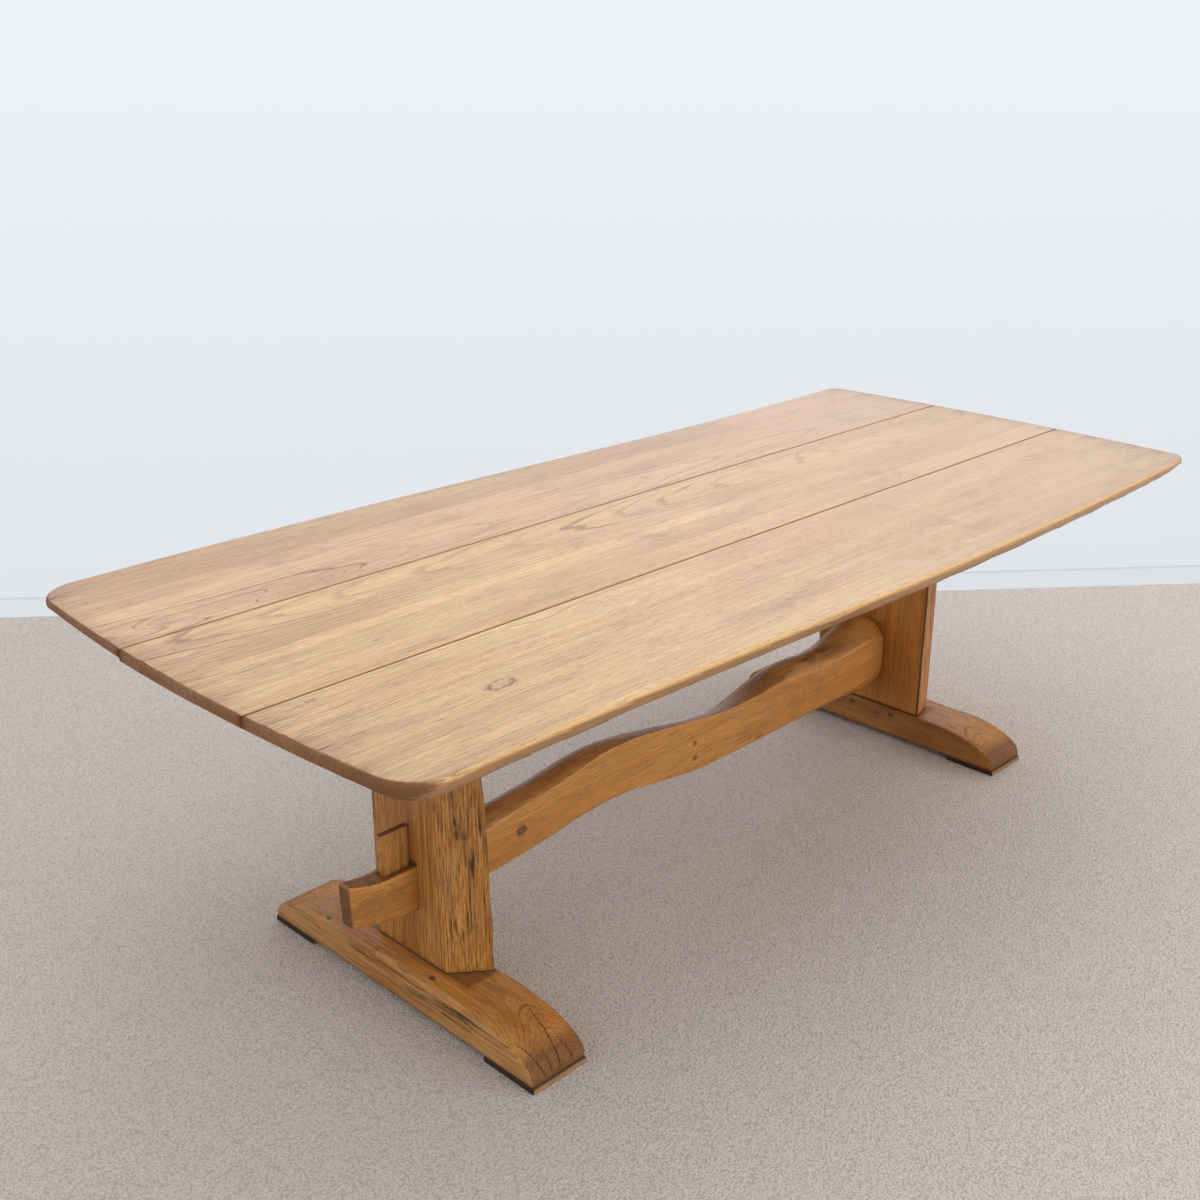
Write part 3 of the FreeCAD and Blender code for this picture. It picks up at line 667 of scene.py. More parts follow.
# Bands of another tone along a stave: (from, to, how far along they reach, gain)
BANDS = {
    "back_board_outer_stave": ((405, 600, 500, 0.86),),
    "back_board_inner_stave": ((303, 400, 100, 1.07),),
    "middle_board_centre_stave": ((-21, 30, 150, 1.14),),
    "front_board_inner_stave": ((-292, -252, -100, 1.09),),
    "front_board_outer_stave": ((-490, -453, -700, 1.06),),
}
BACK_BOARD_BLUE = 1.10
# Red, green and blue gains of the posts and feet, darker at the right, the keys and the stretcher
POST_GAINS = {"left": (0.99, 1.0, 0.94), "right": (0.88, 0.80, 0.62)}
FOOT_GAINS = {"left": (1.0, 1.0, 1.0), "right": (0.86, 0.86, 0.84)}
KEY_GAINS = (0.89, 0.92, 1.0)
STRETCHER_GAINS = (0.93, 0.94, 0.92)
# Faint stains in the top: (along, across, half length, half width, strength)
TOP_STAINS = (
    (0.172, 0.316, 0.070, 0.022, 0.9), (-0.341, 0.446, 0.075, 0.030, 0.9),
    (0.903, 0.254, 0.080, 0.030, 0.8), (0.143, -0.411, 0.060, 0.024, 0.7),
    (0.425, -0.466, 0.070, 0.026, 0.7), (-1.138, -0.347, 0.030, 0.016, 0.9),
    (-1.057, -0.358, 0.035, 0.018, 0.8), (-1.109, -0.283, 0.050, 0.018, 0.9),
    (-1.190, -0.310, 0.020, 0.030, 0.9), (0.973, -0.481, 0.060, 0.026, 0.8),
    (-0.700, 0.480, 0.110, 0.024, 0.6), (0.560, 0.470, 0.090, 0.030, 0.6),
)
# How far each end of the top has drawn back where it is BOW_REACH from the middle line
HALF_LENGTH, BOW_REACH = 1.210, 0.54
END_BOWS = {-1: 0.033, 1: 0.022}
# The faces of the top are cut into cells as far as this from its middle
WITHIN_RIM = Vector((1.165, 0.505))
TOP_CELLS = (0.012, 0.016)
# Depths below the top surface of an end edge's arris, foot and underside. The ends of the middle
# and front boards are undercut less, and the foot of their edge is at FULL_EDGE_FOOT.
EDGE_ARRIS, EDGE_FOOT, EDGE_UNDERSIDE = 0.006, 0.013, 0.040
FULL_EDGE_FOOT = 0.021
FOOT_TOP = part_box("left_foot")[1].z
GAP_REACH = 2.3 * MM
GAP_MOUTH = 0.8 * MM
GAP_FACES = [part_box(node)[side].y for node, side in (
    ("front_board_inner_stave", 1), ("middle_board_front_stave", 0),
    ("middle_board_back_stave", 1), ("back_board_inner_stave", 0),
)]
JOINT_FACES = sorted({round(corner.y, 5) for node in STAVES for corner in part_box(node)})[1:-1]


class TRESTLE_OT_top_boards(bpy.types.Operator):
    """Make the staves of the three top boards, their rims worn and waney"""

    bl_idname = "trestle.top_boards"
    bl_label = "Top boards"

    def execute(self, context):
        look = context.scene.trestle_look
        for node, (pith, spacing, seed, rings, tint, knots) in STAVES.items():
            low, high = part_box(node)
            inner = (max(low.y, -WITHIN_RIM.y), min(high.y, WITHIN_RIM.y))
            along, across = TOP_CELLS
            cuts = {0: rows(-WITHIN_RIM.x, WITHIN_RIM.x, along), 1: rows(*inner, across)}
            wood = Timber(node, cuts)
            wood.facing(in_a_joint)
            if not node.startswith("back"):
                fill_ends(wood)
            shape_rim(wood, look.rim_wobble)
            mark_soil(wood)
            blue = BACK_BOARD_BLUE if node.startswith("back") else 1.0
            palette = tinted(TOP_PALETTE, (tint, tint, tint * blue))
            # The far end of the top gets a painted sheen
            stave = wood.finish(
                "top_oak", 0, pith, palette, seed, spacing, rings, knots, 7.0, smooth=30,
                pores=0.85, pore_size=(26, 1.1), stains=0.6, roughness=0.35, mottle=0.12,
                veins=0.30, pore_cut=0.585, fade=0.40, crack_size=(75, 2.3), weather=1.0,
                greyed=0.22, end_turn=TOP_END_TURN, bands=BANDS.get(node, ()),
            )
            stave.modifiers.new("even_shading", "WEIGHTED_NORMAL").keep_sharp = True
        return {"FINISHED"}


def fill_ends(wood):
    """Makes the end edges taller, with less undercut below them."""
    down = TOP_Z - wood.points[:, 2]
    old = (0, EDGE_ARRIS, EDGE_FOOT, EDGE_UNDERSIDE)
    new = (0, EDGE_ARRIS, FULL_EDGE_FOOT, EDGE_UNDERSIDE)
    turned = unit((np.abs(wood.nx) - 0.25) / 0.4)
    wood.points[:, 2] -= turned * (np.interp(down, old, new) - down)
    wood.facing(in_a_joint)


def shape_rim(wood, wobble):
    """Lets the rim dip in and out a little, its underside more."""
    rim = unit((0.90 - wood.nz) / 0.5)
    rim *= unit((TOP_Z - wood.points[:, 2]) / (2.5 * MM))
    rim *= unit((1.02 + wood.nz) / 0.15)
    below = unit(-wood.nz * 1.6) * rim
    slow = 0.5 + 0.5 * wood.rough((0.24, 0.18, 0.2), 5)
    quick = 0.5 + 0.5 * ripple(wood.points, (0.05, 0.05, 0.05), 9)
    wood.sink(rim * wobble * (0.85 * slow + 0.12 * quick) + below * wobble * 0.9 * slow)


def mark_soil(wood):
    """Marks the worn, soiled ends, the dark slots between the boards and the stains."""
    x, y, z = wood.points.T
    bow = np.where(x < 0, END_BOWS[-1], END_BOWS[1])
    from_end = HALF_LENGTH - bow * (y / BOW_REACH) ** 2 - np.abs(x)
    handled = np.exp(-np.maximum(from_end, 0) / 0.022)
    handled *= 0.45 + 0.3 * wood.rough((0.03, 0.02, 0.1), 3)
    reach = np.where(x < 0, 0.15, 0.06)
    streaks = unit(0.45 + 1.1 * wood.rough((0.30, 0.035, 1), 27))
    wood.mark("weather", np.exp(-np.maximum(from_end - 0.01, 0) / reach) * streaks)
    wood.mark("soil_and_shade", handled * (wood.nz > 0.3))
    turned = unit((np.abs(wood.nx) - 0.25) / 0.3)
    corner = 0.55 * unit((-y - 0.28) / 0.15) * (x < 0)
    patches = unit(0.35 + 0.8 * wood.rough((0.05, 0.06, 0.02), 41) + corner)
    wood.mark("soil_and_shade", turned * (wood.nz > -0.5) * patches)
    slot = np.min([np.abs(y - face) for face in GAP_FACES], axis=0) < GAP_REACH
    wood.mark("check", slot * unit((TOP_Z - GAP_MOUTH - z) / (0.4 * MM)))
    for along, across, half, wide, strength in TOP_STAINS:
        wood.mark("blotch", strength * hill(x - along, half) * hill(y - across, wide))


def in_a_joint(centre, normal):
    """Which faces are glued to the next stave or look at it across a gap."""
    flat = np.abs(normal[:, 1]) > 0.995
    near = np.min([np.abs(centre[:, 1] - y) for y in JOINT_FACES], axis=0) < 2e-4
    return flat & near & (centre[:, 2] < TOP_Z - 1e-4)


# Dark smudges on the left post's narrow face:
# (height, place across, half height, half width, depth of tone)
SMUDGES = (
    (0.366, -0.776, 0.040, 0.0045, 0.9),
    (0.300, -0.757, 0.036, 0.0040, 0.9),
    (0.440, -0.778, 0.024, 0.0030, 0.7),
    (0.405, -0.799, 0.050, 0.0050, 0.5),
    (0.360, -0.766, 0.014, 0.0060, 0.6),
)

POST_ROW = 6 * MM
POST_PITHS = {"left": (-600, -300, 6, 10), "right": (620, 60, -6, 14)}
# How strongly rings, pores, veins and cracks show
POST_DRAWN = {"left": 1.0, "right": 0.5}


class TRESTLE_OT_posts(bpy.types.Operator):
    """Make the two slab posts, with checks down their narrow faces"""

    bl_idname = "trestle.posts"
    bl_label = "Posts"

    def execute(self, context):
        look = context.scene.trestle_look
        for side, sign, seed in (("left", -1, 4), ("right", 1, 9)):
            node = side + "_post"
            low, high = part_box(node)
            cuts = {
                2: rows(low.z, high.z, POST_ROW) + [FOOT_TOP + 1.2 * MM, FOOT_TOP + 2.6 * MM],
                0: rows(low.x, high.x, 0.0022, 0.0011),
                1: rows(low.y, high.y, 0.0075, 0.002),
            }
            wood = Timber(node, cuts)
            cut_wane(wood, high.x if sign < 0 else low.x, sign)
            wood.wear(6)
            wood.sink(0.5 * MM * (1 + wood.rough((0.05, 0.05, 0.30), seed)))
            open_post_checks(wood, (low.x + high.x) / 2, look.check_depth, seed)
            above = wood.points[:, 2] - FOOT_TOP
            # Painted contact shade: darker over the post's lowest few millimetres where it stands
            # on the foot. The dark line just above the foot is the seam.
            wood.mark("soil_and_shade", 0.7 * unit(1 - above / (7 * MM)))
            wood.mark("check", 0.9 * unit((2.6 * MM - above) / (1.4 * MM)))
            wood.mark("wear_and_highlight", (wood.worn - 0.5 * MM) / (2.2 * MM))
            if side == "right":
                behind = np.maximum(wood.points[:, 1] - front_edge(wood), 0)
                arris = np.hypot(wood.points[:, 0] - low.x, behind)
                below = unit((0.50 - wood.points[:, 2]) / 0.06)
                wood.mark("check", 0.9 * unit(1.6 - arris / (4 * MM)) * below)
            drawn = POST_DRAWN[side]
            palette = tinted(BASE_PALETTE, POST_GAINS[side])
            wood.finish(
                "base_oak", 2, POST_PITHS[side], palette, seed, 6.2, drawn, (), 9.0,
                pores=0.75 * drawn, pore_size=(42, 1.2), stains=0.35, roughness=0.36,
                cracks=0.65 * drawn, crack_size=(150, 2.3), weather=0.45, veins=0.62 * drawn,
                pore_cut=0.55,
            )
        return {"FINISHED"}


def front_edge(wood, chosen=slice(None)):
    """The foremost place across, at each point's height, among the chosen points."""
    y, z = wood.points[:, 1], wood.points[:, 2]
    row = np.round(z / POST_ROW).astype(int)
    edge = np.full(row.max() + 1, np.inf)
    np.minimum.at(edge, row[chosen], y[chosen])
    found = np.flatnonzero(np.isfinite(edge))
    return np.interp(z, found * POST_ROW, edge[found])


def cut_wane(wood, inner, sign):
    """Takes the natural edge off the arris between the narrow front face and the inner face."""
    x, y, z = wood.points.T
    on_inner = np.abs(x - inner) < 0.5 * MM
    away = np.maximum(y - front_edge(wood, on_inner), 0)
    width = (4.5 + 6 * unit((z - 0.15) / 0.5) ** 2) * MM
    width *= 1 + 0.45 * wave(z, 0.06, 12)
    cut = unit(1 - np.abs(x - inner) / width - away / (width * 1.1))
    cut *= width * 0.75
    wood.points[:, 0] += sign * cut * 0.75
    wood.points[:, 1] += cut * 0.66
    wood.facing()
    wood.mark("soil_and_shade", unit(cut / (1.2 * MM)) * 0.85)


def open_post_checks(wood, middle, deep, seed):
    """Drying cracks and weathering on both narrow faces, and smudges on the front one."""
    spans = scattered(seed, 70, (0.12, 0.68), (middle - 0.033, middle + 0.033), (0.012, 0.055),
                      (0.7 * MM, 1.3 * MM), (0.15 * deep, 0.6 * deep))
    wood.facing()
    wood.checks((0, -1, 0), 2, 0, spans, seed)
    wood.checks((0, 1, 0), 2, 0, spans[:30], seed + 90)
    x, _, z = wood.points.T
    torn = unit(0.45 + 1.3 * wood.rough((0.0030, 0.03, 0.020), seed + 4))
    for height, across, tall, wide, tone_depth in SMUDGES:
        spot = hill(z - height, tall) * hill(x - across, wide)
        wood.mark("check", 1.5 * tone_depth * spot * (wood.ny < -0.5) * torn)
    facing = unit((np.abs(wood.ny) - 0.6) / 0.3)
    cloud = 0.25 + 0.9 * wood.rough((0.03, 0.03, 0.12), seed + 3)
    wood.mark("weather", facing * unit(cloud))


# Cracks in the top of a foot: (along, across, half length, share of the depth, lean). The last
# is at the back.
FOOT_CRACKS = {
    "left": (
        (-0.372, -0.780, 0.090, 0.8, 0.27),
        (-0.395, -0.828, 0.052, 0.7, -0.28),
        (-0.402, -0.760, 0.034, 0.5, -0.25),
        (-0.396, -0.806, 0.020, 0.4, 0.10),
        (0.330, -0.800, 0.060, 0.6, 0.10),
    ),
    "right": (
        (-0.292, 0.722, 0.034, 0.7, 0.16),
        (-0.300, 0.738, 0.030, 0.5, -0.30),
        (-0.385, 0.792, 0.050, 0.6, -0.20),
        (-0.392, 0.834, 0.034, 0.5, 0.15),
        (0.330, 0.800, 0.060, 0.6, -0.10),
    ),
}
FOOT_KNOTS = {
    "left": ((-118, -831, None, 9, 6, 8, 1.0), (178, -846, None, 7, 4, 5, 0.9)),
    "right": (
        (67, None, 68, 9, 5, 6, 1.0), (-9, None, 60, 7, 4, 5, 0.9), (-51, None, 67, 9, 5, 6, 1.0),
    ),
}


class TRESTLE_OT_feet(bpy.types.Operator):
    """Make the two sled feet, their outer sides weathered, and the pads under them"""

    bl_idname = "trestle.feet"
    bl_label = "Feet and pads"

    def execute(self, context):
        look = context.scene.trestle_look
        for side, sign, seed in (("left", -1, 13), ("right", 1, 19)):
            node = side + "_foot"
            low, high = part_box(node)
            wood = Timber(node, voxel=look.foot_cell)
            wood.wear(4)
            wood.mark("wear_and_highlight", (wood.worn - 0.45 * MM) / (2.0 * MM))
            soften_outer_arris(wood, low, high, sign, seed)
            wood.sink(0.6 * MM * (1 + wood.rough((0.05, 0.30, 0.05), seed + 1)))
            open_foot_checks(wood, low, high, sign, look.check_depth, seed)
            darken_foot(wood, side + "_post")
            palette = tinted(FOOT_PALETTE, FOOT_GAINS[side])
            wood.finish(
                "base_oak", 1, (sign * 770, -20, 8, 20), palette, seed, 4.2, 0.75, FOOT_KNOTS[side],
                9.0, pores=0.75, pore_size=(26, 1.2), roughness=0.38, cracks=0.35,
                crack_size=(120, 2.4), weather=1.0, veins=0.5, pore_cut=0.54,
            )
            for end in ("front", "back"):
                make_pad(f"{side}_{end}_pad", seed)
        return {"FINISHED"}


def soften_outer_arris(wood, low, high, sign, seed):
    """Rounds the long outer arris unevenly and weathers the outer side."""
    x, y, z = wood.points.T
    inside = np.abs(x - (low.x if sign < 0 else high.x))
    width = (9 + 5 * wave(y, 0.08, seed)) * MM
    cut = unit(1 - inside / width - (high.z - z) / width) * width * 0.7
    wood.points[:, 0] -= sign * cut * 0.7
    wood.points[:, 2] -= cut * 0.7
    wood.facing()
    side = unit((sign * wood.nx - 0.5) / 0.3)
    cloud = 0.6 + 0.7 * wood.rough((0.03, 0.14, 0.025), seed + 8)
    wood.mark("weather", side * unit(cloud))


def open_foot_checks(wood, low, high, sign, deep, seed):
    """Long cracks along the outer side and in the top near both ends."""
    spans = scattered(seed, 24, (low.y + 0.05, high.y - 0.25), (0.026, 0.078), (0.03, 0.10),
                      (1.1 * MM, 1.7 * MM), (0.2 * deep, 0.6 * deep))
    wood.checks((sign, 0, 0), 1, 2, spans, seed, wander=3 * MM)
    ends = FOOT_CRACKS["left" if sign < 0 else "right"]
    top = [(y, x, half, 1.3 * MM, deep * share, lean) for y, x, half, share, lean in ends]
    wood.checks((0, -0.6, 0.8), 1, 0, top[:-1], seed + 50, wander=3 * MM)
    wood.checks((0, 0.6, 0.8), 1, 0, top[-1:], seed + 70, wander=3 * MM)


def darken_foot(wood, post):
    """Paints a contact shade round the foot of the post, and darkens patches on the inner side and
    a band low down.
    """
    low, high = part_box(post)
    x, y, z = wood.points.T
    away_x = np.maximum(np.maximum(low.x - x, x - high.x), 0)
    away_y = np.maximum(np.maximum(low.y - y, y - high.y), 0)
    # A painted contact shade where the post stands on the foot
    line = np.exp(-np.hypot(away_x, away_y) / (3.5 * MM)) * (wood.nz > 0.8)
    wood.mark("soil_and_shade", line)
    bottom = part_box(wood.node)[0].z
    inward = unit((-np.sign(x) * wood.nx - 0.5) / 0.3)
    patches = unit(0.40 + 0.5 * wood.rough((0.1, 0.12, 0.03), 61))
    wood.mark("soil_and_shade", inward * patches)
    low_down = unit((bottom + 9 * MM - z) / (6 * MM))
    wood.mark("soil_and_shade", 0.8 * low_down * (np.abs(wood.nz) < 0.8))


def make_pad(pad, seed):
    """Makes one pad, dark along its long sides and its top line."""
    slab = Timber(pad, lattice(pad, (0.006, 0.0015), (0.006, 0.0015), (0.003,)))
    slab.wear(3)
    slab.sink(0.35 * MM * (1 + slab.rough((0.05, 0.02, 0.02), seed + 2)))
    slab.points[:, 2] = np.maximum(slab.points[:, 2], 0)
    slab.facing()
    slab.mark("soil_and_shade", (np.abs(slab.nx) - 0.4) / 0.3)
    slab.mark("soil_and_shade", (slab.points[:, 2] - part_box(pad)[1].z + 4 * MM) / (2 * MM))
    slab.finish("pad_oak", 0, (0, -40, 0, 0), PAD_PALETTE, seed + 5, 2.6, 0.7, pores=0.6,
                roughness=0.5, cracks=0.4)


# The hump of the stretcher's bark side to the right of its middle: how high, where and how long
HUMP_RISE, HUMP_PLACE, HUMP_REACH = 0.013, 0.35, 0.10
STRETCHER_ROW = 6 * MM
# How far from the middle the bark sides end and the tenons start
BARK_END, TENON_START = 0.70, 0.80
# Torn hollows in the bark: (place along, half length)
HOLLOWS = ((0.430, 0.045), (0.500, 0.030), (-0.120, 0.030))
STRETCHER_KNOTS = (
    (-546, None, 246, 14, 10, 14, 0.9),
    (-18, None, 243, 7, 6, 6, 0.8),
    (-16, None, 206, 8, 6, 8, 0.8),
    (300, None, 232, 16, 10, 12, 0),
    (-330, None, 285, 16, 10, 12, 0),
    (90, None, 300, 30, 9, 10, 0),
)


class TRESTLE_OT_stretcher(bpy.types.Operator):
    """Make the stretcher, sawn in front and left round behind, with its two tenons"""

    bl_idname = "trestle.stretcher"
    bl_label = "Stretcher"

    def execute(self, context):
        look = context.scene.trestle_look
        wood = Timber("stretcher", voxel=look.stretcher_cell)
        raise_hump(wood)
        wood.wear(3)
        wood.mark("wear_and_highlight", (wood.worn - 0.35 * MM) / (1.2 * MM))
        x = wood.points[:, 0]
        between = unit((BARK_END - np.abs(x)) / 0.05)
        bark = between * unit((wood.ny + 0.75) / 0.4)
        round_side = between * unit((wood.ny + 0.86) / 0.12)
        # A pale line along the front top arris: partly wear, partly a painted highlight
        arris = between * hill(wood.ny + 0.93, 0.04) * (wood.nz > 0)
        held = unit(0.5 + 1.2 * wood.rough((0.12, 1, 1), 33))
        wood.mark("wear_and_highlight", 0.9 * arris * held)
        bumps = 0.5 + 0.5 * wood.rough((0.10, 0.05, 0.05), 6)
        small = 0.5 + 0.5 * wood.rough((0.030, 0.018, 0.018), 8)
        wood.sink(bark * (2.6 * MM * bumps + 1.0 * MM * small))
        wood.facing()
        tenon = np.abs(x) > TENON_START
        patches = unit(0.45 + 0.9 * wood.rough((0.13, 0.06, 0.06), 14))
        wood.mark("weather", round_side * (0.35 + 0.65 * patches))
        torn = unit(0.35 + 1.5 * wood.rough((0.022, 0.010, 0.010), 23))
        for place, reach in HOLLOWS:
            hollow = hill(x - place, reach) * hill(wood.ny + 0.35, 0.28)
            wood.mark("check", 0.9 * hollow * (wood.nz > 0) * torn)
        wood.mark("weather", tenon * (wood.nz > 0.7) * 0.9)
        wood.mark("soil_and_shade", round_side * (0.15 + 0.55 * patches))
        burnt = unit(0.3 + wood.rough((0.05, 0.02, 0.02), 25))
        wood.mark("soil_and_shade", round_side * hill(x - 0.33, 0.20) * burnt)
        ends = unit((np.abs(wood.nx) - 0.6) / 0.3)
        wood.mark("soil_and_shade", tenon * ends * 0.55)
        # A painted highlight along the top front arris of each tenon
        turned = (np.abs(wood.nz - 0.62) < 0.3) & (wood.ny < -0.3)
        wood.mark("wear_and_highlight", tenon * turned * 0.9)
        hatch = 0.55 + 0.6 * wood.rough((0.007, 0.02, 0.02), 21)
        wood.mark("soil_and_shade", tenon * (wood.nz > 0.75) * hatch)
        palette = tinted(STRETCHER_PALETTE, STRETCHER_GAINS)
        wood.finish(
            "stretcher_oak", 0, (120, 60, 6, -14), palette, 29, 6.0, 0.45, STRETCHER_KNOTS, 14.0,
            pores=0.5, pore_size=(14, 1.2), stains=0.6, roughness=0.34, cracks=0.1, weather=0.8,
            veins=0.42,
        )
        return {"FINISHED"}


def raise_hump(wood):
    """Stretches the stretcher's upper half a little higher where it climbs to the right."""
    x, z = wood.points[:, 0], wood.points[:, 2]
    row = np.round((x - x.min()) / STRETCHER_ROW).astype(int)
    top, bottom = np.full(row.max() + 1, -np.inf), np.full(row.max() + 1, np.inf)
    np.maximum.at(top, row, z)
    np.minimum.at(bottom, row, z)
    places = x.min() + STRETCHER_ROW * np.arange(row.max() + 1)
    top, bottom = np.interp(x, places, top), np.interp(x, places, bottom)
    share = unit(((z - bottom) / (top - bottom) - 0.35) / 0.65)
    wood.points[:, 2] += HUMP_RISE * hill(x - HUMP_PLACE, HUMP_REACH) * share
    wood.facing()


class TRESTLE_OT_keys(bpy.types.Operator):
    """Make the two flat keys that draw the tenons tight"""

    bl_idname = "trestle.keys"
    bl_label = "Keys"

    def execute(self, context):
        for side, seed in (("left", 37), ("right", 43)):
            node = side + "_key"
            steps = (0.004, 0.0015), (0.0035, 0.0012), (0.004, 0.0015)
            wood = Timber(node, lattice(node, *steps))
            wood.wear(9)
            wood.mark("wear_and_highlight", (wood.worn - 0.5 * MM) / (3 * MM))
            wood.sink(0.25 * MM * (1 + wood.rough((0.03, 0.03, 0.12), seed)))
            wood.mark("soil_and_shade", 0.7 * unit((wood.nz - 0.5) / 0.3))
            palette = tinted(BASE_PALETTE, KEY_GAINS)
            wood.finish("key_oak", 2, (0, -60, 60, 4), palette, seed, 3.4, 0.7, body=node,
                        pores=0.6, pore_size=(20, 1.3), stains=0.3, roughness=0.40, cracks=0.3)
        return {"FINISHED"}


class TRESTLE_OT_bearers(bpy.types.Operator):
    """Make the bearers under the top and the batten half way along"""

    bl_idname = "trestle.bearers"
    bl_label = "Bearers and batten"

    def execute(self, context):
        for node, seed in (("left_bearer", 47), ("right_bearer", 51), ("middle_batten", 55)):
            wood = Timber(node, lattice(node, (0.012, 0.002), (0.014, 0.002), (0.010, 0.002)))
            wood.wear(4)
            wood.sink(0.4 * MM * (1 + wood.rough((0.04, 0.2, 0.04), seed)))
            wood.finish("base_oak", 1, (0, 500, 12, 8), BASE_PALETTE, seed, 3.2, 0.6, pores=0.5,
                        stains=0.4, roughness=0.5, cracks=0.4)
        return {"FINISHED"}


class TRESTLE_OT_fastenings(bpy.types.Operator):
    """Finish the screws, washers and pegs"""

    bl_idname = "trestle.fastenings"
    bl_label = "Fastenings"

    def execute(self, context):
        zinc = steel("aged_zinc", tone(168, 166, 158), 0.42)
        peg = oak("oak_pegs", 0, (0, 680, 0, 0), BASE_PALETTE, 61, 2.4, 0.7, roughness=0.5)
        for node, part in NODES.items():
            if node.endswith(("_screws", "_washers")):
                material = zinc
            elif node.endswith("_pegs"):
                material = peg
            else:
                continue
            for number in range(len(part.material_slots)):
                part.material_slots[number].material = material
        return {"FINISHED"}


# --- the stage -----------------------------------------------------------------------------------

CAMERA_PLACE = (-2.2523, -1.9388, 1.6931)
CAMERA_YAW = 0.7766
CAMERA_PITCH = 0.3646
CAMERA_ROLL = 0.003
CAMERA_LENS = 44.775
SENSOR_WIDTH = 36.0
CAMERA_REACH = 2000.0
FAR_EDGE = ((-0.3644, 2.2525), (1.9030, 0.3210))
CARPET_WIDTH = 7.0
CARPET_DEPTH = 3.7
SKIRTING_REACH = 0.17
# How wide the painted shadow line along the top of the skirting is
SKIRTING_SHADOW_WIDTH = 0.03
LOOPS_PER_METRE = 250.0
# How far past the carpet the floor is half way to WALL_TOP
PALER_OVER = 4.5
WALL_TOP = tone(238, 241, 245)
FAR = 900.0
WINDOW = (5.0, 2.2, 5.2)
FILL = (1.6, -4.6, 2.2)
LAMP_SIZE = (4.5, 3.5)
LAMP_AIM = Vector((0, 0, 0.4))
LAMP_COLOUR = (1.0, 0.985, 0.96)
SKY_COLOUR = (0.96, 0.98, 1.0)


def make_camera(scene):
    """Puts the camera where the table is seen from a little above its near left corner."""
    data = bpy.data.cameras.new("camera")
    data.lens = CAMERA_LENS
    data.sensor_width = SENSOR_WIDTH
    data.clip_end = CAMERA_REACH
    camera = placed("camera", data)
    ahead = Vector((
        math.cos(CAMERA_YAW) * math.cos(CAMERA_PITCH),
        math.sin(CAMERA_YAW) * math.cos(CAMERA_PITCH),
        -math.sin(CAMERA_PITCH),
    ))
    right = ahead.cross(Vector((0, 0, 1))).normalized()
    up = right.cross(ahead)
    turned_right = right * math.cos(CAMERA_ROLL) + up * math.sin(CAMERA_ROLL)
    turned_up = up * math.cos(CAMERA_ROLL) - right * math.sin(CAMERA_ROLL)
    turn = Matrix((turned_right, turned_up, -ahead)).transposed()
    camera.matrix_world = Matrix.Translation(CAMERA_PLACE) @ turn.to_4x4()
    scene.camera = camera


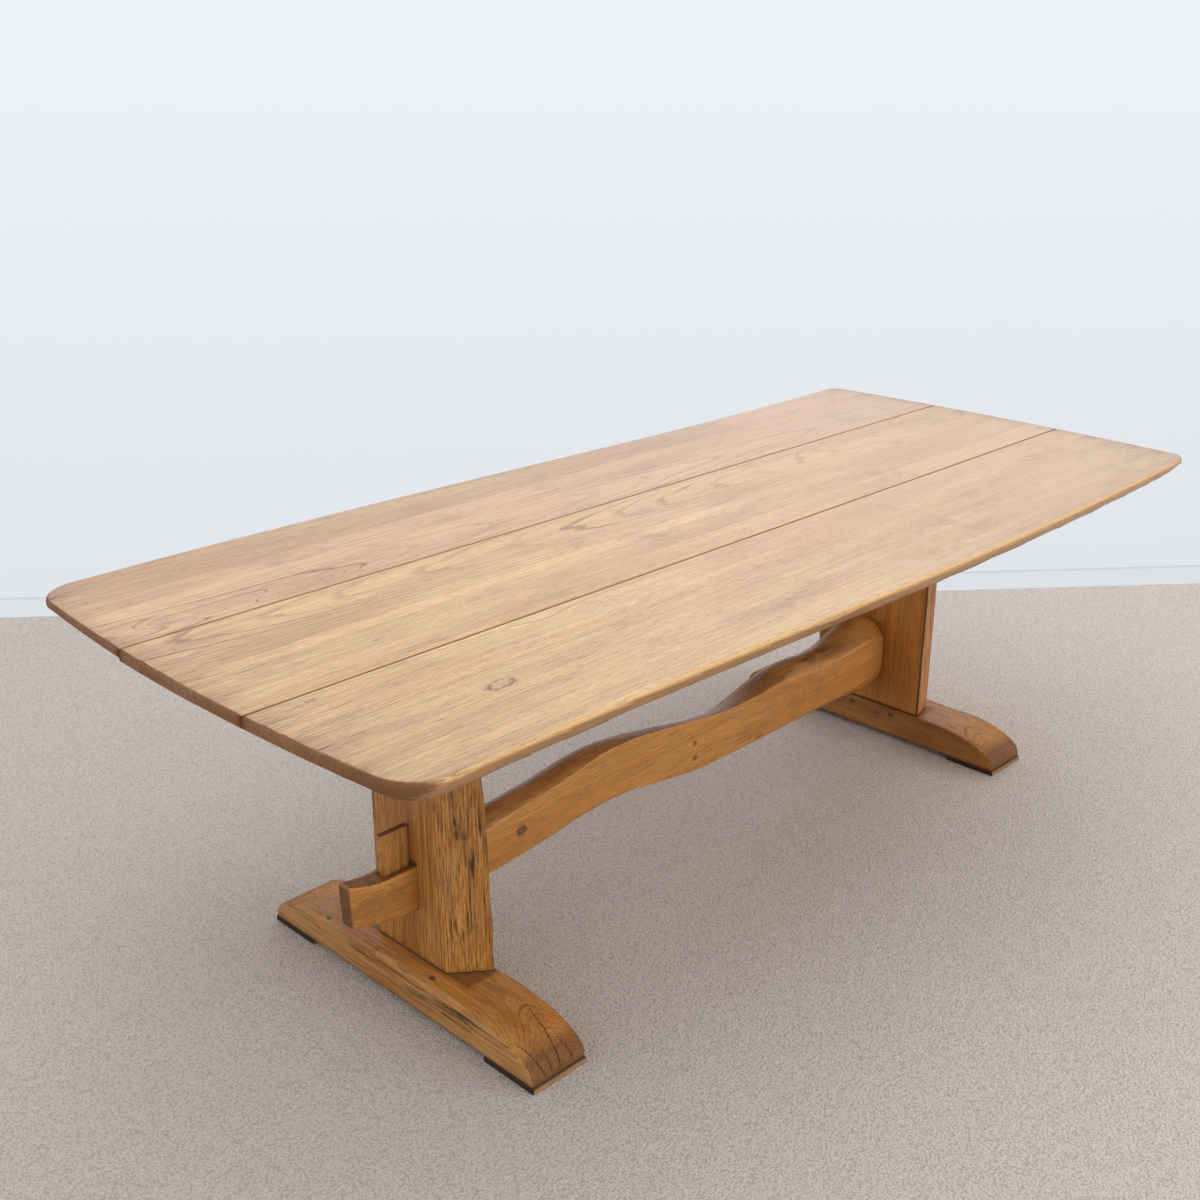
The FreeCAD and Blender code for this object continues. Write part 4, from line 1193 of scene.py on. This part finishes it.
def make_floor(stage):
    """Lays a carpet, with a pale skirting round it and a plain pale floor beyond."""
    f = Finish("carpet_and_wall")
    place = f.put("TexCoord").outputs["Object"]
    cells = f.put("TexVoronoi", {"Vector": place, "Scale": LOOPS_PER_METRE, "Randomness": 1.0})
    loops = Value(f, cells.outputs["Distance"])
    tufts = f.cloud(place, (0.0065, 0.0065, 0.0065), 4, 0.75)
    rows_of_loops = f.cloud(place, (0.030, 0.010, 0.01), 2, 0.5)
    worn = f.cloud(place, (0.55, 0.55, 0.55), 3, 0.6)
    light, dark = shade(stage.carpet, 1.04), shade(stage.carpet, 0.72)
    colour = f.blend(f.between(loops, 0.30, 0.85), light, dark)
    for spots, low, high, share in (
        (tufts, 0.46, 0.64, 0.20), (rows_of_loops, 0.48, 0.64, 0.13), (worn, 0.45, 0.75, 0.08),
    ):
        colour = f.blend(f.between(spots, low, high) * share, colour, dark)
    bumps = {"Height": tufts + loops * -0.8, "Distance": 3.0 * MM, "Strength": 1.0}
    bump = f.put("Bump", bumps).outputs[0]
    pile = f.put("BsdfDiffuse", {"Color": colour, "Normal": bump}).outputs[0]

    # how far a place is past the carpet, in metres
    (x0, y0), (x1, y1) = FAR_EDGE
    length = math.hypot(x1 - x0, y1 - y0)
    across = ((x1 - x0) / length, (y1 - y0) / length, 0)
    away = (-across[1], across[0], 0)
    far_side = x0 * away[0] + y0 * away[1]
    sides = []
    for direction, middle, half in (
        (across, 0.0, CARPET_WIDTH / 2),
        (away, far_side - CARPET_DEPTH / 2, CARPET_DEPTH / 2),
    ):
        node = f.put("VectorMath", {0: place, 1: direction}, operation="DOT_PRODUCT")
        off = Value(f, node.outputs["Value"]) - middle
        sides.append(f.maths("ABSOLUTE", off) - half)
    past = f.maths("MAXIMUM", *sides)

    # skirting with a painted shadow line along its top, and the plain floor that grows paler with
    # distance
    pale = f.blend(f.maths("DIVIDE", past, past + PALER_OVER), tuple(stage.wall), WALL_TOP)
    board = f.between(past, SKIRTING_REACH + 0.004, SKIRTING_REACH)
    pale = f.blend(board, pale, tone(222, 226, 232))
    # A painted shadow line along the top of the skirting
    ledge_shadow = f.between(past, SKIRTING_REACH - SKIRTING_SHADOW_WIDTH, SKIRTING_REACH) * board
    pale = f.blend(ledge_shadow, pale, tone(205, 210, 218))
    plain = f.put("BsdfDiffuse", {"Color": pale}).outputs[0]
    glow = f.put("Emission", {"Color": pale, "Strength": 1.0}).outputs[0]
    wall = f.put("MixShader", {0: f.seen(), 1: plain, 2: glow}).outputs[0]
    beyond = f.maths("GREATER_THAN", past, 0.0)
    whole = f.put("MixShader", {0: beyond, 1: pile, 2: wall}).outputs[0]
    f.put("OutputMaterial", {"Surface": whole})

    mesh = bpy.data.meshes.new("floor")
    corners = [(-FAR, -FAR, 0), (FAR, -FAR, 0), (FAR, FAR, 0), (-FAR, FAR, 0)]
    mesh.from_pydata(corners, [], [(0, 1, 2, 3)])
    mesh.materials.append(f.holder)
    floor = placed("floor", mesh)


def make_light(scene, stage):
    """Lights the table with a pale surround, a large soft window and a fill for its front."""
    f = Finish("surround", "worlds")
    sky = {"Color": SKY_COLOUR, "Strength": stage.daylight}
    light = f.put("Background", sky).outputs[0]
    plain = f.put("Background", {"Color": WALL_TOP, "Strength": 1.0}).outputs[0]
    mixed = f.put("MixShader", {0: f.seen(), 1: light, 2: plain}).outputs[0]
    f.put("OutputWorld", {"Surface": mixed})
    scene.world = f.holder
    for name, power, place in (("window", stage.window, WINDOW), ("fill", stage.fill, FILL)):
        lamp = bpy.data.lights.new(name, "AREA")
        lamp.shape = "RECTANGLE"
        lamp.size, lamp.size_y = LAMP_SIZE
        lamp.energy = power
        lamp.color = LAMP_COLOUR
        softbox = placed(name, lamp)
        softbox.location = place
        aim = LAMP_AIM - softbox.location
        softbox.rotation_euler = aim.to_track_quat("-Z", "Y").to_euler()


class TRESTLE_OT_stage(bpy.types.Operator):
    """Set the camera, the floor and the light"""

    bl_idname = "trestle.stage"
    bl_label = "Stage"

    def execute(self, context):
        scene = context.scene
        stage = scene.trestle_stage
        scene.view_settings.view_transform = "Standard"
        make_camera(scene)
        make_floor(stage)
        make_light(scene, stage)
        return {"FINISHED"}


# --- the panel and the add-on --------------------------------------------------------------------

STEPS = (
    TRESTLE_OT_stage,
    TRESTLE_OT_top_boards,
    TRESTLE_OT_posts,
    TRESTLE_OT_feet,
    TRESTLE_OT_stretcher,
    TRESTLE_OT_keys,
    TRESTLE_OT_bearers,
    TRESTLE_OT_fastenings,
)


class TRESTLE_PT_table(bpy.types.Panel):
    """Lists the pieces of the table and what can be changed"""

    bl_idname = "TRESTLE_PT_table"
    bl_label = "Trestle Table"
    bl_space_type = "VIEW_3D"
    bl_region_type = "UI"
    bl_category = "Trestle Table"

    def draw(self, context):
        layout = self.layout
        for settings in (context.scene.trestle_look, context.scene.trestle_stage):
            for field in settings.__annotations__:
                layout.prop(settings, field)
        for step in STEPS:
            layout.operator(step.bl_idname)


CLASSES = (TrestleTableLook, TrestleTableStage, *STEPS, TRESTLE_PT_table)


def register():
    for each in CLASSES:
        bpy.utils.register_class(each)
    bpy.types.Scene.trestle_look = PointerProperty(type=TrestleTableLook)
    bpy.types.Scene.trestle_stage = PointerProperty(type=TrestleTableStage)


def unregister():
    del bpy.types.Scene.trestle_stage
    del bpy.types.Scene.trestle_look
    for each in reversed(CLASSES):
        bpy.utils.unregister_class(each)


def plain(box):
    """A box of two corners as lists of numbers."""
    return [[float(number) for number in corner] for corner in box]


def main():
    register()
    for step in STEPS:
        group, name = step.bl_idname.split(".")
        getattr(getattr(bpy.ops, group), name)()


if __name__ == "__main__":
    main()
